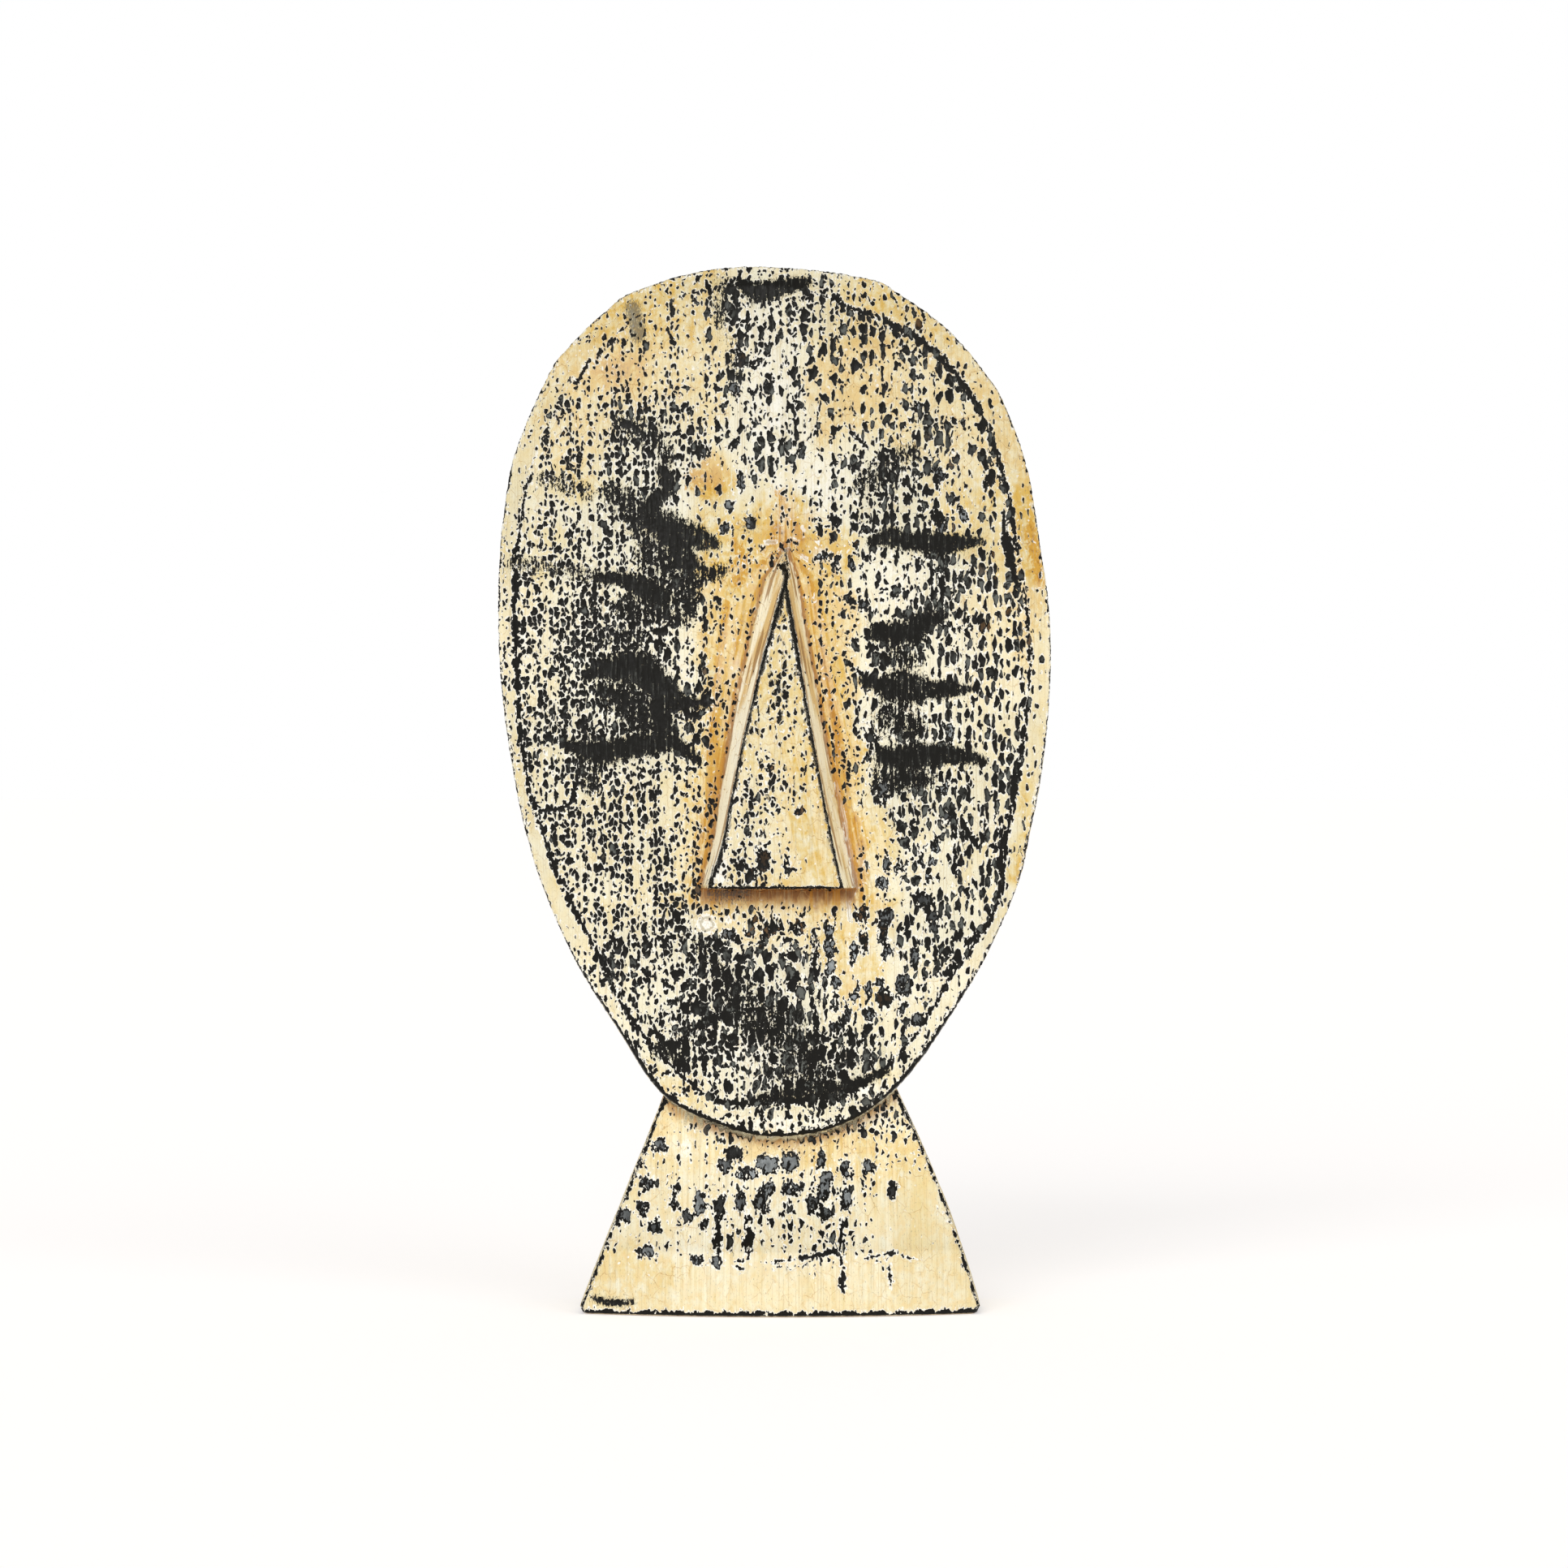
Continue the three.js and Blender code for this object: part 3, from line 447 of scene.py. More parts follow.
# Stain of the paint: name, centre, reach across and up, amber (0 pale cream, 1 deep amber)
STAIN = [
    ("crown", 950, 370, 80, 40, 0.16),
    ("crown left", 860, 360, 50, 30, 0.78),
    ("top left", 770, 420, 90, 50, 0.82),
    ("top left mark", 783, 398, 12, 22, 0.98),
    ("upper left", 765, 456, 34, 24, 1.82),
    ("forehead left", 720, 520, 60, 60, 0.69),
    ("forehead", 860, 460, 44, 60, 0.62),
    ("forehead white", 940, 520, 40, 90, 0.01),
    ("forehead right", 1050, 455, 40, 66, 1.07),
    ("crown right", 1110, 380, 60, 30, 0.78),
    ("temple right", 1150, 500, 60, 50, 0.67),
    ("temple outer", 1215, 520, 30, 60, 0.88),
    ("brow left", 800, 570, 50, 50, 0.02),
    ("brow centre", 876, 590, 24, 18, 1.56),
    ("above root", 960, 580, 40, 36, 0.12),
    ("brow right", 1060, 600, 40, 50, 0.00),
    ("brow right low", 1110, 630, 40, 20, 0.13),
    ("right of brow", 1190, 600, 40, 50, 0.60),
    ("root", 962, 645, 34, 34, 1.16),
    ("root left", 905, 680, 30, 34, 0.76),
    ("root right", 1015, 710, 28, 40, 1.20),
    ("left edge", 650, 740, 40, 160, 0.30),
    ("left cheek", 740, 800, 70, 130, 0.02),
    ("left cheek low", 760, 1000, 80, 60, 0.29),
    ("by nose left", 898, 760, 22, 60, 1.02),
    ("nose left lower", 884, 900, 16, 100, 1.10),
    ("nose left foot", 860, 1010, 16, 60, 0.78),
    ("nose upper", 965, 720, 20, 50, 1.02),
    ("nose", 965, 860, 24, 100, 0.56),
    ("nose middle", 985, 960, 22, 44, 0.85),
    ("nose lower", 990, 1050, 44, 40, 0.62),
    ("nose lower left", 910, 1030, 20, 50, 0.37),
    ("by nose right", 1028, 800, 18, 110, 1.11),
    ("by nose right low", 1042, 950, 14, 90, 1.10),
    ("beside nose right", 1075, 1020, 20, 60, 0.55),
    ("beside the chisel lip", 1062, 1050, 8, 46, 1.50),
    ("right white", 1110, 710, 46, 44, 0.02),
    ("right cheek", 1140, 860, 60, 120, 0.00),
    ("right outer", 1215, 760, 26, 90, 0.58),
    ("right lower", 1200, 960, 50, 120, 0.21),
    ("right rim upper", 1272, 640, 14, 130, 1.07),
    ("right rim", 1284, 860, 12, 120, 0.31),
    ("right rim lower", 1268, 1030, 16, 60, 0.78),
    # the band under the nose is partly a painted shadow of the nose
    ("under nose", 960, 1108, 90, 13, 0.94),
    ("upper lip", 985, 1140, 70, 20, 0.62),
    ("mouth left", 880, 1240, 60, 60, 0.00),
    ("mouth", 960, 1280, 70, 60, 0.00),
    ("mouth right", 1058, 1200, 26, 46, 0.71),
    ("jaw right", 1150, 1180, 50, 60, 0.02),
    ("jaw left", 720, 1140, 50, 60, 0.22),
    ("chin left", 825, 1350, 34, 26, 0.67),
    ("chin", 980, 1378, 90, 22, 0.12),
    ("chin right", 1140, 1270, 50, 50, 0.14),
    ("neck", 990, 1410, 70, 14, 0.97),
    ("neck left", 860, 1418, 36, 22, 0.46),
    ("neck right", 1090, 1418, 40, 30, 0.69),
    ("foot upper", 940, 1480, 70, 26, 0.14),
    ("foot", 960, 1530, 120, 30, 0.19),
    ("foot right", 1135, 1500, 36, 50, 0.36),
    ("foot left", 790, 1570, 44, 26, 0.57),
    ("foot left upper", 790, 1480, 40, 40, 0.22),
    ("foot band", 980, 1592, 160, 24, 0.28),
]

# Scorched, deep brown amber: name, spine, strength
BURNT = [
    ("brow centre", [(850, 592, 6), (866, 586, 12), (884, 592, 9)], 0.55),
    ("upper left", [(742, 452, 8), (762, 460, 15), (782, 452, 9)], 0.50),
    ("root", [(958, 648, 4), (964, 660, 8), (974, 668, 6)], 1.00),
    ("root right", [(974, 640, 2.5), (980, 652, 4), (990, 664, 3)], 0.85),
    ("root left", [(950, 686, 2), (938, 700, 3), (926, 712, 2)], 0.45),
    ("root over", [(960, 606, 3), (966, 622, 4), (964, 636, 5)], 0.60),
    ("left of root", [(905, 668, 4), (915, 690, 6), (908, 716, 5)], 0.45),
    ("beside the nose, left", [(897, 742, 2), (889, 800, 3), (880, 870, 3), (872, 930, 2)], 0.60),
    ("beside the nose, left low", [(880, 960, 3), (868, 1010, 3), (862, 1060, 2)], 0.55),
    ("beside the nose, right", [(1012, 790, 3), (1020, 840, 4), (1030, 900, 5), (1033, 930, 3)], 0.85),
    ("beside the nose, right high", [(998, 716, 2), (1004, 742, 3), (1008, 770, 2)], 0.50),
    ("chisel lip, right", [(1052, 1000, 2), (1060, 1040, 4), (1063, 1086, 3)], 0.75),
    ("right rim", [(1270, 648, 4), (1278, 686, 7), (1283, 718, 4)], 0.50),
]

# White, chalky places: name, centre, reach across and up, strength
CHALK = [
    ("crown", 930, 400, 40, 30, 0.55),
    ("forehead", 955, 520, 36, 90, 0.85),
    ("forehead low", 1010, 600, 40, 40, 0.8),
    ("left of smear", 800, 590, 30, 30, 0.6),
    ("left brow", 826, 620, 26, 20, 0.6),
    ("left cheek", 812, 810, 26, 40, 0.6),
    ("right patch", 1100, 714, 34, 30, 0.7),
    ("right cheek", 1115, 900, 40, 60, 0.55),
    ("nose corner", 889, 1074, 9, 22, 1.4),
    ("root ring", 1011, 685, 10, 10, 0.9),
    ("root ring low", 1030, 692, 8, 9, 0.8),
    ("bare right", 1132, 1088, 14, 14, 0.9),
    ("by the lower right rim", 1215, 1012, 12, 14, 0.6),
    ("mouth", 930, 1290, 60, 40, 0.45),
    ("chin patch", 1065, 1345, 14, 8, 1.3),
    # partly a painted highlight: the nose's left wall whitened where it faces the light
    ("nose left wall", 906, 880, 8, 90, 0.5),
    ("chin rim", 960, 1384, 90, 10, 0.9),
    ("foot left", 845, 1415, 14, 12, 1.0),
    ("foot", 900, 1540, 150, 60, 0.20),
]

# ---------------------------------------------------------------- reading those lists


def stirred(u, v):
    """The same places pushed a little to and fro, so that no area has a straight border."""
    du = 8 * np.sin(v * 0.071 + 1.3 * np.sin(u * 0.031)) + 4.5 * np.sin(v * 0.163 + u * 0.05 + 2)
    dv = 7 * np.sin(u * 0.067 + 0.9 * np.sin(v * 0.041)) + 4 * np.sin(u * 0.151 - v * 0.043)
    return u + du, v + dv


def soft_areas(u, v, areas, column, base, base_weight):
    total, weight = np.full(u.shape, base * base_weight**2), np.full(u.shape, base_weight**2)
    for entry in areas:
        name, cx, cy, rx, ry = entry[:5]
        w = np.exp(-1.7 * (((u - cx) / rx) ** 2 + ((v - cy) / ry) ** 2))
        total += w * entry[5 + column]
        weight += w
    return total / weight


def spine_distance(u, v, spine, squeeze=1.0):
    """Distance to a spine and its half-width there."""
    best, wide = np.full(u.shape, 1e9), np.zeros(u.shape)
    for (ax, ay, aw), (bx, by, bw) in zip(spine[:-1], spine[1:]):
        dx, dy = bx - ax, (by - ay) * squeeze
        px, py = u - ax, (v - ay) * squeeze
        t = clamp((px * dx + py * dy) / max(dx * dx + dy * dy, 1e-9))
        d = np.hypot(px - t * dx, py - t * dy)
        w = lerp(aw, bw, t)
        closer = d - w < best - wide
        best, wide = np.where(closer, d, best), np.where(closer, w, wide)
    return best, wide


def near(u, v, spine, margin):
    xs, ys = [p[0] for p in spine], [p[1] for p in spine]
    m = margin + max(p[2] for p in spine)
    return (u > min(xs) - m) & (u < max(xs) + m) & (v > min(ys) - m) & (v < max(ys) + m)


def smear_field(u, v):
    out = np.zeros(u.shape)
    for name, spine, strength in SMEARS:
        k = near(u, v, spine, 30)
        d, w = spine_distance(u[k], v[k], spine, 0.85)
        solid = strength >= 1.0
        out[k] = np.maximum(out[k], strength * (1 - (smooth(d, 0.40 * w, 1.25 * w + 3) if solid else smooth(d, 0.10 * w, 1.2 * w + 10))))
    return out


def burnt_field(u, v):
    """How far inside a scorched mark a place lies, 1 at its middle, 0 at its border."""
    out = np.full(u.shape, -1.0)
    for name, spine, strength in BURNT:
        k = near(u, v, spine, 14)
        d, w = spine_distance(u[k], v[k], spine)
        out[k] = np.maximum(out[k], strength * (1 - d / (1.5 * w + 1.5)))
    return out


def smoke_field(u, v):
    out = np.zeros(u.shape)
    for name, spine, strength in [(n, p, 0.80 if q >= 1.0 else 0.45 * q) for n, p, q in SMEARS] + SMOKE:
        k = near(u, v, spine, 30)
        d, w = spine_distance(u[k], v[k], spine, 0.85)
        out[k] = np.maximum(out[k], strength * (1 - smooth(d, 0.55 * w, 1.1 * w + 7)))
    return out


def thin_lines(u, v):
    """Signed distance to the nearest thin worn line and its half-width there, both in millimetres."""
    across, wide = np.full(u.shape, 30.0), np.full(u.shape, -12.0)
    for name, spine in RUBBED:
        k = np.flatnonzero(near(u, v, spine, 20))
        for (ax, ay, aw), (bx, by, bw) in zip(spine[:-1], spine[1:]):
            dx, dy = bx - ax, by - ay
            length = math.hypot(dx, dy)
            px, py = u[k] - ax, v[k] - ay
            along, side = (px * dx + py * dy) / length, (px * dy - py * dx) / length
            w = lerp(aw, bw, clamp(along / length)) - np.maximum(np.maximum(-along, along - length), 0)
            better = w - np.abs(side) > wide[k] - np.abs(across[k])
            across[k], wide[k] = np.where(better, side, across[k]), np.where(better, w, wide[k])
    return across * STEP, wide * STEP


def single_pits(u, v):
    """How deep inside a single large pit a place lies, in millimetres, and what shows in that pit, whose pale grey is
    partly a painted reflection.
    """
    depth, pit_fill_and_reflection = np.full(u.shape, -4.0), np.zeros(u.shape)
    for name, cx, cy, rx, ry, tone in SINGLE:
        k = np.flatnonzero((np.abs(u - cx) < rx + 14) & (np.abs(v - cy) < ry + 14))
        d = (1 - np.hypot((u[k] - cx) / rx, (v[k] - cy) / ry)) * min(rx, ry) * STEP
        better = d > depth[k]
        depth[k], pit_fill_and_reflection[k] = np.where(better, d, depth[k]), np.where(better, tone, pit_fill_and_reflection[k])
    return depth, pit_fill_and_reflection


def raised_field(u, v):
    out = np.zeros(u.shape)
    for name, spine, height in RAISED:
        k = near(u, v, spine, 8)
        d, w = spine_distance(u[k], v[k], spine)
        out[k] = np.maximum(out[k], height * (1 - smooth(d, 0.0, w)))
    return out


def unrolled(x, y, z, normal, foot, depth, angle, radius, left, right, foot_corner):
    """Place on the block's skin laid out flat: the front as seen, the sides folded out from it, the nose's face, the back and the foot each on their own."""
    slope = by_turn(SLOPE, angle) / np.maximum(radius, 20)
    nx, nz = np.cos(angle) + slope * np.sin(angle), np.sin(angle) - slope * np.cos(angle)
    length = np.hypot(nx, nz)
    out = np.maximum(depth - RIM_DROP, 0)
    s, t = x + nx / length * out, z + nz / length * out
    high = np.maximum(-depth, 0)
    nl, nr, relief, wl, wr = nose_lines(z)
    raised = ~foot & (high > 1.0) & (z > NOSE_BOTTOM - 1) & (z < NOSE_ROOT)
    s = np.where(raised & (x < nl + 0.3), x + 0.95 * (high - 1.0), s)
    s = np.where(raised & (x > nr - 0.3), x - 0.95 * (high - 1.0), s)
    flat = raised & (normal[:, 1] < -0.80) & (high > 0.5 * relief)
    s, t = np.where(flat, x + 37.0, s), np.where(flat, z + 11.0, t)
    t = np.where(raised & (normal[:, 2] < -0.6), z + high, t)
    back = ~foot & (normal[:, 1] > 0.55)
    s, t = np.where(back, 420.0 - x, s), np.where(back, z, t)
    s, t = np.where(foot, x + 260.0, s), np.where(foot, z - 3.0, t)
    aside = foot & (np.abs(normal[:, 0]) > 0.68)
    s = np.where(aside, x + np.sign(x) * (y - foot_corner) + 260.0, s)
    s = np.where(foot & (normal[:, 1] > 0.6), 760.0 - x, s)
    return np.stack([s, t, np.zeros(s.shape)], 1)


def fields(co, normal, part=None):
    """Everything the paint depends on, for points in millimetres: pattern place, pitting, coarseness, smears, rubbed lines and stains."""
    x, y, z = co.T
    angle, radius = face_polar(x, z)
    edge = outline(angle)
    tilt = 1 / np.sqrt(1 + (by_turn(SLOPE, angle) / np.maximum(radius, 20)) ** 2)
    foot = (z < 110) & (radius > edge + 0.35)
    if part == "foot":
        foot = np.ones(x.shape, bool)
    elif part:
        foot = np.zeros(x.shape, bool)
    left, right, fy, fyc, by, byc = foot_lines(z)
    u_foot = (x - (left + right) / 2) / np.maximum((right - left) / 2 - FOOT_CORNER, 10)
    foot_front = fy + (fyc - fy) * clamp(u_foot, -1.05, 1.05) ** 2
    depth = y - np.where(foot, foot_front, front(x, z))
    place = unrolled(x, y, z, normal, foot, depth, angle, radius, left, right, fyc)

    u, v = seen_at(x, y, z)
    aside = smooth(depth, 4.0, 9.0)            # 1 on the sides and the back
    behind = smooth(normal[:, 1], 0.3, 0.7)
    on_nose = smooth(-depth, 2.0, 6.0) * ~foot
    under = foot & (normal[:, 2] < -0.8) & (z < 1.0)

    pitting = soft_areas(*stirred(u, v), PITTING, 0, 0.20, 0.02)
    coarse = soft_areas(*stirred(u, v), PITTING, 1, 0.4, 0.02)
    wave = np.sin(x * 0.037 + 1.7 * np.sin(z * 0.019)) * np.sin(z * 0.023 + 1.3 * np.sin(x * 0.029 + 1.0))
    ripple = np.sin(x * 0.11 + z * 0.03 + y * 0.09) * np.sin(z * 0.07 - x * 0.02)
    pitting = lerp(pitting, np.maximum(0.13 + 0.13 * wave + 0.06 * ripple, 0.015), aside)
    coarse = lerp(coarse, 0.40 + 0.30 * wave, aside)
    smear = lerp(smear_field(u, v), 0.66 * smooth(wave + 0.25 * ripple, 0.62, 0.95), aside)
    smoke = smoke_field(u, v) * (1 - aside)
    line = np.full(x.shape, -4.0)
    shown = (aside < 0.5) & ~behind.astype(bool)
    thin, thin_wide = thin_lines(u, v)
    thin, thin_wide = np.where(shown, thin, 9.0), np.where(shown, thin_wide, -4.0)
    single, pit_fill_and_reflection = single_pits(u, v)
    single = np.where(shown, single, -4.0)
    raised = raised_field(u, v) * (1 - aside)
    pitting = pitting * (1 - smooth(raised, 0.03, 0.12))
    smear = smear * (1 - smooth(raised, 0.03, 0.12))

    # signed distance across the rim to its nearer edge: the inner arris or the front edge
    inner = edge - by_turn(RIM, angle)
    ledge = front(*face_point(angle, edge)) + RIM_DROP + 0.4
    low = smooth(-np.sin(angle), 0.75, 0.93)
    edge_wide = 0.40 + 0.15 * smooth(-np.cos(angle), 0.1, 0.4) * smooth(-np.sin(angle), -0.7, -0.3) + 0.35 * smooth(np.cos(angle), 0.3, 0.5) * smooth(-np.sin(angle), 0.1, 0.4) + 2.0 * smooth(-np.sin(angle), 0.84, 0.96)
    from_inner, from_edge = (radius - inner) * tilt, (edge - radius) * tilt - np.maximum(y - ledge, 0)
    rim = np.where(foot | (depth > 14), -9.0, np.minimum(from_inner, from_edge))
    rim_wide = np.where(from_inner < from_edge, by_turn(LINE, angle), edge_wide)
    on_rim = smooth(from_inner, 0.3, 2.2) * (1 - smooth(depth, 4.0, 9.0)) * ~foot
    pitting = pitting * lerp(1.0, by_turn(RIM_SHARE, angle), on_rim)

    # edges of the back
    back_edge = np.minimum(np.hypot((edge - radius) * tilt, y - (BACK_Y - BACK_BEVEL_DEEP)), np.hypot((edge - BACK_BEVEL_IN - radius) * tilt, y - BACK_Y))
    line = np.where(~foot, np.maximum(line, 0.9 - back_edge), line)

    # the nose: signed distance to the border of its front face, and to the outline of its foot on the board
    nl, nr, relief, wl, wr = nose_lines(z)
    ny = front((nl + nr) / 2, z) - relief
    corner, corner_wide = np.full(x.shape, -9.0), np.full(x.shape, -4.0)
    in_reach = ~foot & (depth < 3) & (z > NOSE_BOTTOM - 1) & (z < NOSE_ROOT - 4) & (relief > 4)
    face = np.minimum(np.minimum(x - nl, nr - x), z - NOSE_BOTTOM + 0.1)
    face = np.where(x < nl, -np.hypot(x - nl, y - ny), np.where(x > nr, -np.hypot(x - nr, y - ny), face))
    face = np.where((normal[:, 2] < -0.5) & (z < NOSE_BOTTOM + 1.0), -np.maximum(y - ny, 0), face)
    corner = np.where(in_reach, face, corner)
    corner_wide = np.where(in_reach, np.where(z < NOSE_BOTTOM + 1.8, 1.45, np.where(x < (nl + nr) / 2, 0.85, 0.90) + 0.45 * smooth(z, 225.0, 262.0)), corner_wide)
    nook = np.minimum(np.minimum(x - (nl - wl), (nr + wr) - x), np.minimum(z - NOSE_BOTTOM, NOSE_ROOT - z))
    nook = np.where(foot | (depth > 3), -30.0, np.maximum(nook, -30.0))
    wall = ~foot & (depth < -0.8) & (z > NOSE_BOTTOM + 0.8) & (z < NOSE_ROOT) & ((x < nl - 0.3) | (x > nr + 0.3))
    pitting = np.where(wall, pitting * 0.20, pitting)
    side = np.where(wall, np.where(x < nl, -1.0, 1.0), 0.0)
    across_wall = np.where(x < (nl + nr) / 2, (nl - x) / np.maximum(wl, 1), (x - nr) / np.maximum(wr, 1))

    # the foot: signed distance to its upright edges, and its worn lower edge
    sides = np.minimum(x - left, right - x) - np.maximum(np.minimum(y - fyc, byc - y), 0)
    corner = np.where(foot, sides, corner)
    corner_wide = np.where(foot, np.where(y < 4, np.where(x < 0, 0.95, 0.85), 0.6), corner_wide)
    line = np.where(foot & ~under, np.maximum(line, 2.1 - z), line)
    smear = np.where(under, 0, smear)

    # shallow gouge cuts left on the back, each one running with the grain
    cut = (x + 4.0 * np.sin(z * 0.021) + 2.0 * np.sin(z * 0.057 + 1.0)) / 15.0
    along = 0.62 + 0.38 * np.sin(z * 0.085 + np.floor(cut) * 2.1)
    gouge = -0.62 * (1 - (2 * (cut - np.floor(cut)) - 1) ** 2) * along * smooth(normal[:, 1], 0.8, 0.97) * ~foot
    gouge = gouge * smooth((edge - BACK_BEVEL_IN - radius) * tilt, 0.0, 8.0)

    # colour of the paint
    stain = soft_areas(*stirred(u, v), STAIN, 0, 0.34, 0.02)
    stain = lerp(stain, 0.44 - 0.34 * wave + 0.16 * ripple, aside)
    chalk = np.zeros(x.shape)
    for name, cx, cy, rx, ry, strength in CHALK:
        chalk = np.maximum(chalk, strength * np.exp(-(((u - cx) / rx) ** 2) - ((v - cy) / ry) ** 2))
    chalk *= 1 - aside
    burnt = np.where(shown, burnt_field(u, v), -1.0)

    # paint pooled under the nose and in the corner below the chin, darkened there also as painted shadow of the nose
    # and the chin
    below = ~foot & (depth < 3) & (x > nl - 3) & (x < nr + 5) & (z <= NOSE_BOTTOM + 0.6)
    pool_and_shadow = np.where(below, 1.50 * np.exp(-((NOSE_BOTTOM - z) / 6.8) ** 2), 0.0)
    pool_and_shadow = np.where(foot & (z < 110), np.exp(-((radius - edge) * tilt / 5.5) ** 2), pool_and_shadow)
    pitting = np.where(below, pitting * lerp(1.0, 0.12, np.exp(-((NOSE_BOTTOM - z) / 7.0) ** 4)), pitting)
    smear = np.where(below, smear * lerp(1.0, 0.15, np.exp(-((NOSE_BOTTOM - z) / 9.0) ** 4)), smear)

    return dict(
        place=place, pitting=pitting, coarse=coarse, smear=smear, line=np.maximum(line, -4.0), raised=raised,
        cross=np.stack([rim, corner, thin], 1), wide=np.stack([rim_wide, corner_wide, thin_wide], 1),
        single=single, pit_fill_and_reflection=pit_fill_and_reflection, nook=nook, smoke=smoke, side=side, across_wall=np.clip(across_wall, -3, 4),
        # the brightness term here lightens the rim, more so low down, darkens the nose's front face, darkens the paint
        # towards the crown as painted shade where the top faces the light, and lightens the foot above its band as
        # painted light where the chin's shadow falls
        wild=np.where(foot, 1.9, 0.95), painted_light_and_tone=on_rim * low * (1 - aside) + on_rim * 0.2 * (1 - aside) - 1.6 * smooth(z, 250.0, 340.0) * ~foot - 0.9 * on_nose * (normal[:, 1] < -0.8)
        + 1.5 * foot * (1 - aside) * smooth(z, 22.0, 30.0),
        stain=stain, chalk=chalk, burnt=burnt, pool_and_shadow=pool_and_shadow, aside=aside, under=under.astype(float), gouge=gouge,
    )


# ---------------------------------------------------------------- shorthand for the patterns, the same in the relief and in the paint


class Graph:
    def __init__(self, tree):
        self.tree = tree

    def node(self, kind, **settings):
        made = self.tree.nodes.new(kind)
        for key, value in settings.items():
            setattr(made, key, value)
        return made

    def put(self, socket, value):
        if isinstance(value, bpy.types.NodeSocket):
            self.tree.links.new(value, socket)
        elif value is not None:
            socket.default_value = value

    def math(self, operation, a, b=None, c=None, clamped=False):
        made = self.node("ShaderNodeMath", operation=operation, use_clamp=clamped)
        for socket, value in zip(made.inputs, (a, b, c)):
            self.put(socket, value)
        return made.outputs[0]

    def add(self, a, b):
        return self.math("ADD", a, b)

    def sub(self, a, b):
        return self.math("SUBTRACT", a, b)

    def mul(self, a, b):
        return self.math("MULTIPLY", a, b)

    def top(self, a, b):
        return self.math("MAXIMUM", a, b)

    def line(self, a, scale, offset):
        return self.math("MULTIPLY_ADD", a, scale, offset)

    def vector(self, operation, a, b=None, c=None):
        made = self.node("ShaderNodeVectorMath", operation=operation)
        self.put(made.inputs[0], a)
        self.put(made.inputs[1], b)
        if c is not None:
            self.put(made.inputs[2], c)
        return made.outputs[0]

    def scaled(self, a, across, up):
        return self.vector("MULTIPLY", a, (across, up, 0.0))

    def noise(self, at, detail=1.0, rough=0.5):
        made = self.node("ShaderNodeTexNoise", noise_dimensions="2D")
        self.put(made.inputs["Vector"], at)
        made.inputs["Scale"].default_value = 1.0
        made.inputs["Detail"].default_value = detail
        made.inputs["Roughness"].default_value = rough
        return made

    def cells(self, at, feature="F1", random=1.0):
        made = self.node("ShaderNodeTexVoronoi", voronoi_dimensions="2D", feature=feature)
        self.put(made.inputs["Vector"], at)
        made.inputs["Scale"].default_value = 1.0
        made.inputs["Randomness"].default_value = random
        return made

    def step(self, value, low, high, clamped=True):
        made = self.node("ShaderNodeMapRange", interpolation_type="SMOOTHSTEP" if clamped else "LINEAR")
        self.put(made.inputs["Value"], value)
        self.put(made.inputs["From Min"], low)
        self.put(made.inputs["From Max"], high)
        return made.outputs["Result"]

    def channels(self, colour):
        made = self.node("ShaderNodeSeparateXYZ")
        self.put(made.inputs[0], colour)
        return made.outputs

    def colour(self, a, b, factor, blend="MIX"):
        made = self.node("ShaderNodeMix", data_type="RGBA", blend_type=blend, clamp_factor=True)
        self.put(made.inputs[0], factor)
        self.put(made.inputs[6], a if isinstance(a, bpy.types.NodeSocket) else (*a, 1))
        self.put(made.inputs[7], b if isinstance(b, bpy.types.NodeSocket) else (*b, 1))
        return made.outputs[2]


